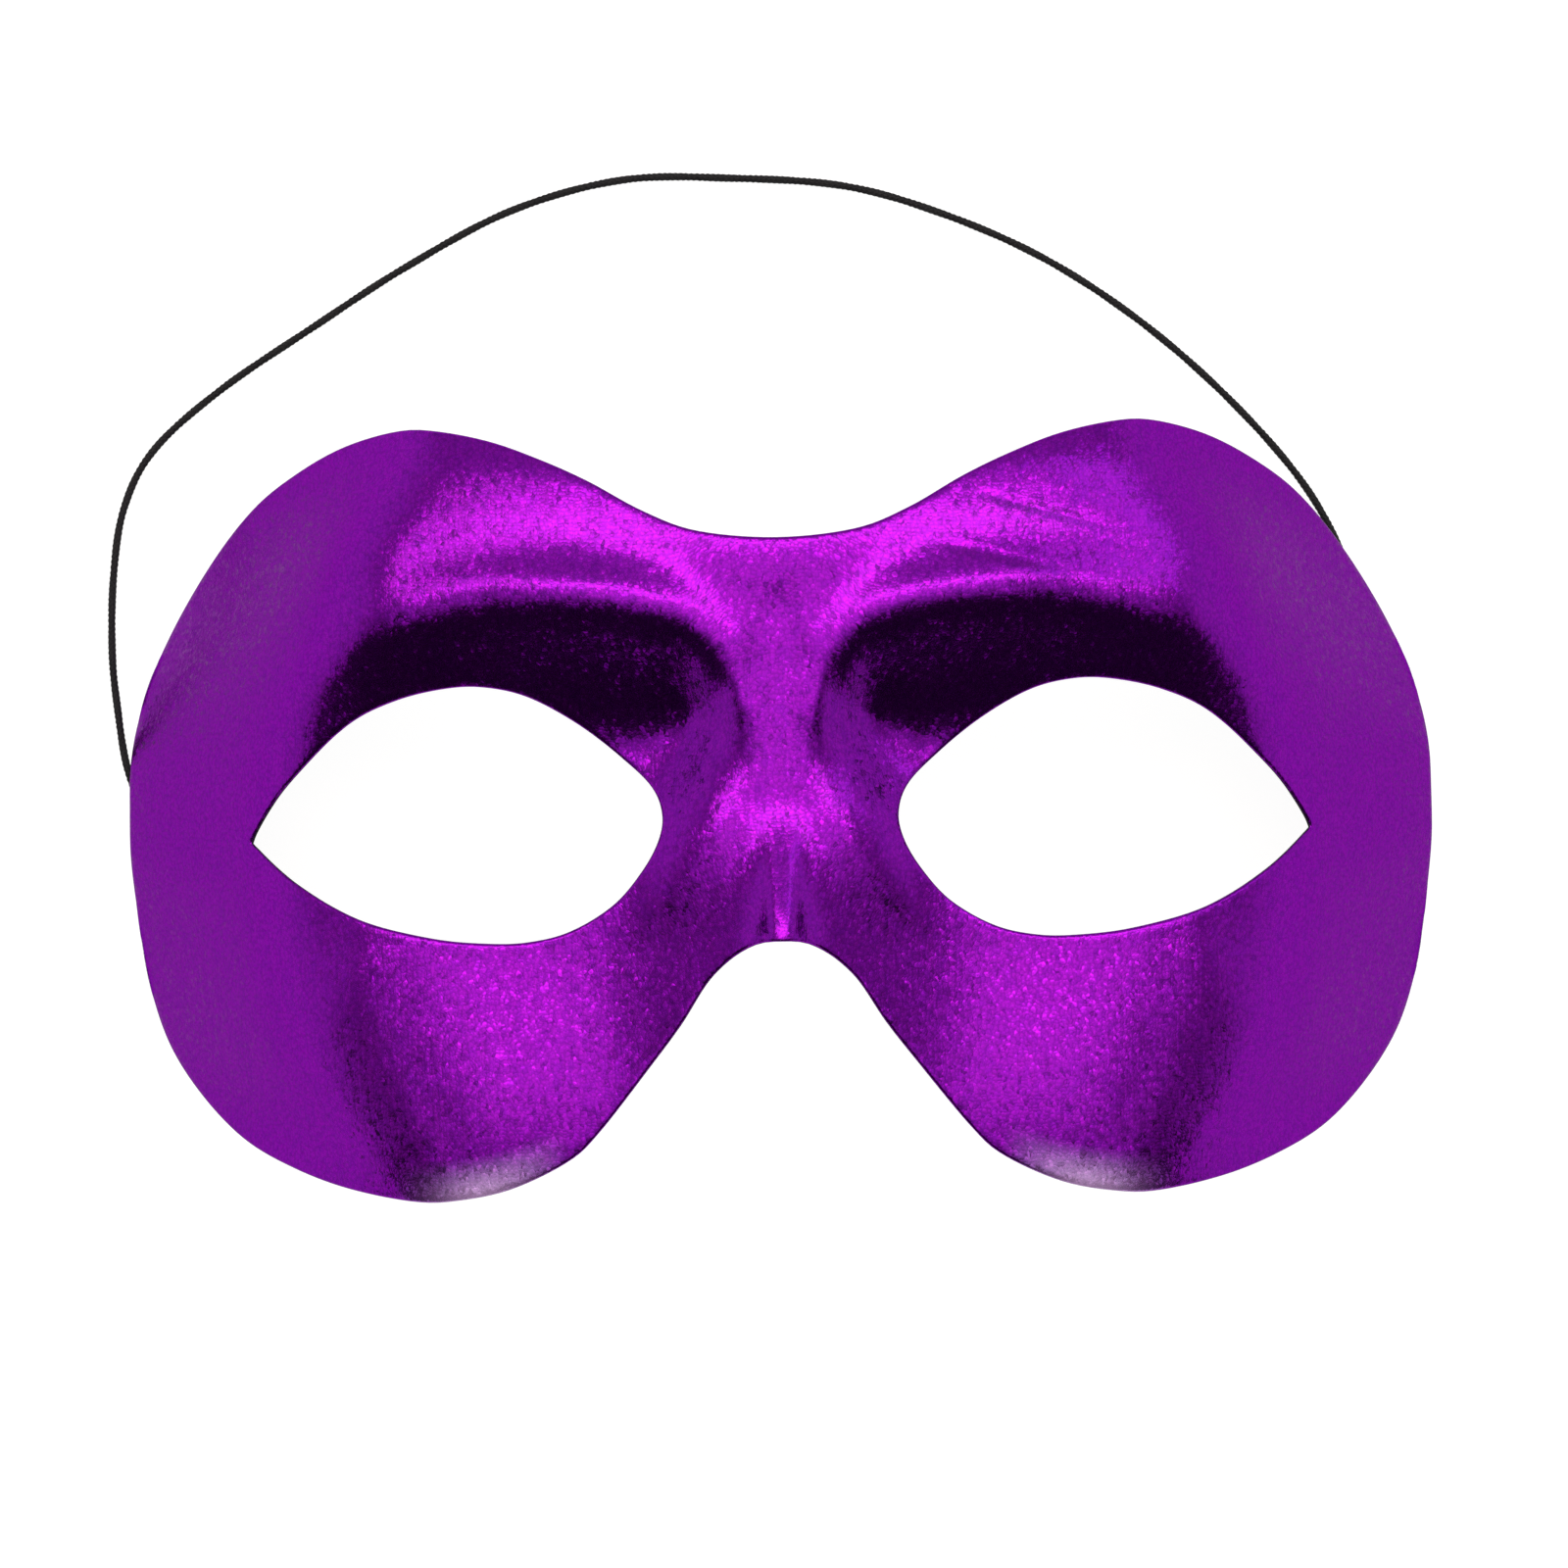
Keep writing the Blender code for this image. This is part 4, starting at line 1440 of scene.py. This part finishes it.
@dataclass(frozen=True)
class BraidedElastic:
    """The elastic: yarn strands braided over a core, laid along its route."""

    yarn: ElasticYarn = ElasticYarn()
    diameter: float = 0.0011
    mouth: tuple[float, float, float] = (0.0816, -0.0114, 0.0038)
    strands_each_way: int = 5
    pitch: float = 0.0036
    strand_radius: float = 0.00019
    weave: float = 0.00003
    core_radius: float = 0.00045
    samples_per_turn: int = 18
    core_samples: int = 300
    strand_sides: int = 4
    core_sides: int = 8
    path_points: int = 400
    points_per_span: int = 40

    def route(self) -> Array:
        """Sample the centre line from the left tab's mouth to the right one's.

        Returns:
            Its points, one a row.
        """
        chosen = np.array(CORD_ROUTE)
        chosen[:, 2] += self.diameter / 2
        right_end = np.array(self.mouth)
        left_end = right_end * (-1, 1, 1)
        chosen = np.vstack([left_end, chosen, right_end])
        before = 2 * chosen[0] - chosen[1]
        after = 2 * chosen[-1] - chosen[-2]
        padded = np.vstack([before, chosen, after])
        per_span = self.points_per_span
        dense = closed_curve(padded, per_span)[per_span : per_span * len(chosen) + 1]
        dense[:, 2] = np.maximum(dense[:, 2], self.diameter / 2)
        steps = np.linalg.norm(np.diff(dense, axis=0), axis=1)
        travelled = np.concatenate(([0.0], np.cumsum(steps)))
        even = np.linspace(0.0, travelled[-1], self.path_points)
        return np.stack([np.interp(even, travelled, dense[:, axis]) for axis in range(3)], axis=-1)

    def _strands(self, tree: Tree, given: Any) -> Socket:
        """Wind strands both ways round the route, over and under each other.

        Args:
            tree: The Geometry Nodes tree.
            given: The tree's own inputs.

        Returns:
            The strands' centre lines.
        """
        line = {"Curve": given["Route"], "Count": given["Samples"]}
        resampled = add_node(tree, "GeometryNodeResampleCurve", line).outputs[0]
        both_ways = number_math(tree, "MULTIPLY", given["Strands"], 2.0)
        twins = {"Geometry": resampled, "Amount": both_ways}
        copies = add_node(tree, "GeometryNodeDuplicateElements", twins, domain="SPLINE").outputs
        number = copies["Duplicate Index"]
        odd = number_math(tree, "MODULO", number, 2.0)
        way = number_math(tree, "MULTIPLY_ADD", odd, 2.0, -1.0)
        lane = number_math(tree, "FLOOR", number_math(tree, "DIVIDE", number, 2.0))
        lane_share = number_math(tree, "DIVIDE", lane, given["Strands"])
        start = number_math(tree, "MULTIPLY", lane_share, math.tau)
        travelled = add_node(tree, "GeometryNodeSplineParameter").outputs["Length"]
        turns = number_math(tree, "DIVIDE", travelled, given["Pitch"])
        turned = number_math(tree, "MULTIPLY", turns, math.tau)
        angle = number_math(tree, "MULTIPLY_ADD", turned, way, start)
        crossings = number_math(tree, "MULTIPLY", turned, given["Strands"])
        crossing = number_math(tree, "COSINE", crossings)
        over = number_math(tree, "MULTIPLY", crossing, way)
        over = number_math(tree, "MULTIPLY", over, given["Weave"])
        radius = number_math(tree, "ADD", given["Braid Radius"], over)
        normal = add_node(tree, "GeometryNodeInputNormal").outputs[0]
        tangent = add_node(tree, "GeometryNodeInputTangent").outputs[0]
        sideways = vector_math(tree, "CROSS_PRODUCT", tangent, normal)
        part_normal = scaled(tree, normal, number_math(tree, "COSINE", angle))
        part_sideways = scaled(tree, sideways, number_math(tree, "SINE", angle))
        direction = vector_math(tree, "ADD", part_normal, part_sideways)
        moved = {"Geometry": copies["Geometry"], "Offset": scaled(tree, direction, radius)}
        return add_node(tree, "GeometryNodeSetPosition", moved).outputs[0]

    def _tree(self) -> tuple[Tree, dict[str, str]]:
        """Build the Geometry Nodes tree that braids strands along a curve.

        Returns:
            The tree, and its inputs' identifiers by name.
        """
        tree = bpy.data.node_groups.new("braid_along_curve", "GeometryNodeTree")
        sockets = {
            "Route": "NodeSocketGeometry",
            "Strands": "NodeSocketInt",
            "Pitch": "NodeSocketFloat",
            "Braid Radius": "NodeSocketFloat",
            "Weave": "NodeSocketFloat",
            "Strand Radius": "NodeSocketFloat",
            "Core Radius": "NodeSocketFloat",
            "Samples": "NodeSocketInt",
            "Core Samples": "NodeSocketInt",
            "Yarn": "NodeSocketMaterial",
        }
        names = {
            name: tree.interface.new_socket(name, in_out="INPUT", socket_type=kind).identifier
            for name, kind in sockets.items()
        }
        tree.interface.new_socket("Braid", in_out="OUTPUT", socket_type="NodeSocketGeometry")
        given = add_node(tree, "NodeGroupInput").outputs
        strand_lines = self._strands(tree, given)
        strands = tube_along(tree, strand_lines, given["Strand Radius"], self.strand_sides)
        line = {"Curve": given["Route"], "Count": given["Core Samples"]}
        core_line = add_node(tree, "GeometryNodeResampleCurve", line).outputs[0]
        core = tube_along(tree, core_line, given["Core Radius"], self.core_sides)
        joined = add_node(tree, "GeometryNodeJoinGeometry")
        tree.links.new(strands, joined.inputs[0])
        tree.links.new(core, joined.inputs[0])
        smooth = {"Geometry": joined.outputs[0]}
        smooth = add_node(tree, "GeometryNodeSetShadeSmooth", smooth).outputs[0]
        real = add_node(tree, "GeometryNodeRealizeInstances", {"Geometry": smooth}).outputs[0]
        yarned = {"Geometry": real, "Material": given["Yarn"]}
        dressed = add_node(tree, "GeometryNodeSetMaterial", yarned).outputs[0]
        add_node(tree, "NodeGroupOutput", {"Braid": dressed})
        return tree, names

    def _guide(self, path: Array) -> bpy.types.Object:
        """Lay a plain line along the route, for the tree to braid strands round.

        Args:
            path: The route's points.

        Returns:
            The line's object.
        """
        line = bpy.data.curves.new("elastic_route", "CURVE")
        line.dimensions = "3D"
        spline = line.splines.new("POLY")
        spline.points.add(len(path) - 1)
        for place, point in zip(spline.points, path):
            place.co = (*point, 1.0)
        return add_object("elastic_route", line)

    def build(self) -> bpy.types.Object:
        """Build and dress the elastic, in the place of its CAD solid.

        Returns:
            The elastic's object.
        """
        path = self.route()
        length = float(np.linalg.norm(np.diff(path, axis=0), axis=1).sum())
        guide = self._guide(path)
        yarn = self.yarn.build()
        tree, names = self._tree()
        braid = guide.modifiers.new("braid", "NODES")
        braid.node_group = tree
        values = {
            "Strands": self.strands_each_way,
            "Pitch": self.pitch,
            "Braid Radius": self.diameter / 2 - self.strand_radius - self.weave,
            "Weave": self.weave,
            "Strand Radius": self.strand_radius,
            "Core Radius": self.core_radius,
            "Samples": round(length / self.pitch * self.samples_per_turn),
            "Core Samples": self.core_samples,
            "Yarn": yarn,
        }
        for name, value in values.items():
            braid[names[name]] = value
        graph = bpy.context.evaluated_depsgraph_get()
        mesh = bpy.data.meshes.new_from_object(guide.evaluated_get(graph))
        mesh.name = "braided_elastic"
        elastic = add_object("braided_elastic", mesh)
        bpy.data.objects.remove(guide)
        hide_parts("elastic_cord")
        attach(elastic, BODY)
        return elastic


@dataclass(frozen=True)
class FeltTab:
    """A plain felt tab that holds one end of the elastic on the inner wall."""

    form: MaskForm
    side: Side
    felt: bpy.types.Material
    length: float = 0.0080
    height: float = 0.0050
    thickness: float = 0.0016
    back: float = 0.0160
    lift: float = 0.0052
    crown: float = 0.35
    grid: int = 24

    def _wall_point(self, up: float) -> Array:
        """Find the right wall's outer point at the tab's height above the floor.

        Args:
            up: Height on the face.

        Returns:
            The point.
        """
        form = self.form
        xs = np.linspace(form.half_width * form.arch_share, form.half_width, form.dense)
        zs = form.height(xs, np.full(form.dense, up))
        across = float(np.interp(-self.lift, -zs, xs))
        return np.array([across, up, self.lift])

    def _frame(self) -> tuple[Array, Array, Array, Array]:
        """Find the right tab's middle and its axes.

        Returns:
            The middle, and the directions along the wall, up it and out of it.
        """
        form = self.form
        point = self._wall_point(-self.back)
        along = unit(
            self._wall_point(-self.back + self.length / 2)
            - self._wall_point(-self.back - self.length / 2)
        )
        normal = form.normal(point[0], point[1])
        normal = unit(normal - along * float(normal @ along))
        # The wall bows over the tab's length like an arc of the mask's half height.
        bow = self.length**2 / (8 * form.half_height)
        inset = form.wall + form.clearance + bow + self.thickness / 2
        return point - normal * inset, along, np.cross(normal, along), normal

    def build(self) -> bpy.types.Object:
        """Build and dress the tab, in the place of its CAD solid.

        Returns:
            The tab's object.
        """
        middle, along, upward, outward = self._frame()
        name = f"felt_tab_{self.side.name.lower()}"
        work = bmesh.new()
        bmesh.ops.create_cube(work, size=1.0)
        bmesh.ops.subdivide_edges(work, edges=work.edges, cuts=self.grid, use_grid_fill=True)
        half = np.array([self.length, self.height, self.thickness]) / 2
        for vertex in work.verts:
            share = np.array(vertex.co) * 2
            rounded = share * np.sqrt(1 - 0.5 * self.crown * np.roll(share, 1) ** 2)
            local = rounded * half
            world = middle + local[0] * along + local[1] * upward + local[2] * outward
            vertex.co = Vector((world[0] * self.side.value, world[1], world[2]))
        bmesh.ops.recalc_face_normals(work, faces=work.faces)
        mesh = bpy.data.meshes.new(name)
        work.to_mesh(mesh)
        work.free()
        mesh.materials.append(self.felt)
        mesh.shade_smooth()
        tab = add_object(name, mesh)
        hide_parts(f"elastic_tab_{self.side.name.lower()}")
        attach(tab, BODY)
        return tab


# Watts that a panel of one square metre needs for a radiance of 1.
POWER_PER_RADIANCE = 4.0


@dataclass(frozen=True)
class SoftPanel:
    """A broad rectangular light; unturned, it faces straight down.

    Its lean tips it about X and its turn about Y, both in degrees.
    """

    name: str
    middle: tuple[float, float, float]
    width: float
    depth: float
    radiance: float
    lean: float = 0.0
    turn: float = 0.0
    colour: str = "#FFFFFF"

    def build(self) -> bpy.types.Object:
        """Hang the panel in its place.

        Returns:
            The panel's object.
        """
        panel = bpy.data.lights.new(self.name, "AREA")
        panel.shape = "RECTANGLE"
        panel.size = self.width
        panel.size_y = self.depth
        panel.energy = POWER_PER_RADIANCE * self.radiance * self.width * self.depth
        panel.color = linear(self.colour)[:3]
        light = add_object(self.name, panel)
        light.location = self.middle
        light.rotation_euler = (math.radians(self.lean), math.radians(self.turn), 0.0)
        return light


# A bright white room as the foil mirrors it: a ceiling that is brightest over the
# mask, a warm strip that the brows pick up, another for the cheeks, and walls that
# fade towards the floor.
PANELS = (
    SoftPanel("ceiling_far", (0.0, 1.73, 2.00), 3.9, 3.45, 0.65),
    SoftPanel("ceiling_near_wide", (0.0, -0.75, 2.00), 3.9, 1.50, 0.42),
    SoftPanel("ceiling_near_core", (0.0, -0.75, 1.99), 2.2, 1.50, 0.16),
    SoftPanel("ceiling_wide_core", (0.0, 0.42, 1.98), 3.1, 2.8, 0.20),
    SoftPanel("ceiling_core", (0.0, 0.33, 1.96), 2.0, 1.7, 0.15),
    SoftPanel("brow_strip", (0.0, 0.53, 1.94), 2.3, 0.59, 3.20, colour="#FFE4D8"),
    SoftPanel("brow_wings", (0.0, 0.53, 1.95), 3.3, 0.56, 0.80, colour="#FFE7DD"),
    SoftPanel("cheek_strip", (0.0, -0.27, 1.94), 1.5, 0.50, 0.95, colour="#FFE7DD"),
    SoftPanel("bright_bend", (-1.50, 1.05, 1.92), 0.9, 0.50, 2.40, colour="#FFE7DD"),
    SoftPanel("far_wall", (0.0, 3.45, 1.15), 3.9, 1.7, 0.60, lean=-90.0),
    SoftPanel("left_wall", (-1.95, 1.73, 1.02), 1.95, 3.45, 0.44, turn=-90.0),
    SoftPanel("right_wall", (1.95, 1.73, 1.02), 1.95, 3.45, 0.44, turn=90.0),
    SoftPanel("left_wall_near", (-1.95, -0.50, 1.02), 1.95, 1.0, 0.32, turn=-90.0),
    SoftPanel("right_wall_near", (1.95, -0.50, 1.02), 1.95, 1.0, 0.32, turn=90.0),
    SoftPanel("left_wall_low", (-1.94, 0.60, 0.56), 1.00, 3.2, 0.26, turn=-90.0),
    SoftPanel("right_wall_low", (1.94, 0.60, 0.56), 1.00, 3.2, 0.26, turn=90.0),
    SoftPanel("left_skirting", (-1.93, 0.60, 0.30), 0.50, 3.2, 0.20, turn=-90.0),
    SoftPanel("right_skirting", (1.93, 0.60, 0.30), 0.50, 3.2, 0.20, turn=90.0),
    SoftPanel("right_fill", (1.80, 1.35, 1.55), 1.2, 1.1, 1.30, lean=-30.0, turn=50.0),
)


@dataclass(frozen=True)
class Studio:
    """Camera, pale floor and plain soft light round the mask."""

    camera_height: float = 0.700
    camera_across: float = 0.0005
    camera_up: float = 0.0034
    camera_roll_degrees: float = -0.9
    near_clip: float = 0.01
    lens_mm: float = 119.2
    sensor_mm: float = 36.0
    floor_size: float = 6.0
    floor_colour: str = "#7A7A7A"
    floor_roughness: float = 0.9
    floor_glow: float = 0.92
    room_glow: float = 0.02

    def add_camera(self) -> bpy.types.Object:
        """Look straight down at the mask, as the photograph does.

        Returns:
            The camera's object.
        """
        lens = bpy.data.cameras.new("camera")
        lens.lens = self.lens_mm
        lens.sensor_width = self.sensor_mm
        lens.clip_start = self.near_clip
        camera = add_object("camera", lens)
        camera.location = (self.camera_across, self.camera_up, self.camera_height)
        camera.rotation_euler = (0.0, 0.0, math.radians(self.camera_roll_degrees))
        bpy.context.scene.camera = camera
        return camera

    def add_floor(self) -> bpy.types.Object:
        """Lay a pale floor, softly lit from beneath as a light table is.

        Returns:
            The floor's object.
        """
        half = self.floor_size / 2
        corners = [(-half, -half, 0.0), (half, -half, 0.0), (half, half, 0.0), (-half, half, 0.0)]
        mesh = bpy.data.meshes.new("floor")
        mesh.from_pydata(corners, [], [(0, 1, 2, 3)])
        # Pale matt sheet with an even white glow, so that the mask casts no dark shadow.
        material, shader = new_material("pale_light_table")
        looks = {
            "Base Color": linear(self.floor_colour),
            "Roughness": self.floor_roughness,
            "Specular IOR Level": 0.0,
            "Emission Color": WHITE,
            "Emission Strength": self.floor_glow,
        }
        dress(shader, looks)
        mesh.materials.append(material)
        floor = add_object("floor", mesh)
        return floor

    def add_lights(self) -> None:
        """Hang the soft panels in a dim room."""
        for panel in PANELS:
            panel.build()
        world = bpy.data.worlds.new("dim_room")
        world.use_nodes = True
        glow = world.node_tree.nodes["Background"].inputs
        glow["Color"].default_value = WHITE
        glow["Strength"].default_value = self.room_glow
        bpy.context.scene.world = world
        bpy.context.scene.view_settings.view_transform = "Standard"


def report(piece: bpy.types.Object) -> None:
    """Log a finished piece and its number of faces."""
    log.info("%s: %d faces", piece.name, len(piece.data.polygons))


def main() -> None:
    """Build the scene in order and report each piece."""
    logging.basicConfig(level=logging.INFO, format="%(message)s")
    studio = Studio()
    studio.add_camera()
    report(BraidedElastic().build())
    form = MaskForm()
    shell = MouldedShell(form).build()
    report(shell)
    felt = shell.data.materials[Layer.FELT]
    for side in Side:
        report(FeltTab(form, side, felt).build())
    studio.add_floor()
    studio.add_lights()


if __name__ == "__main__":
    main()
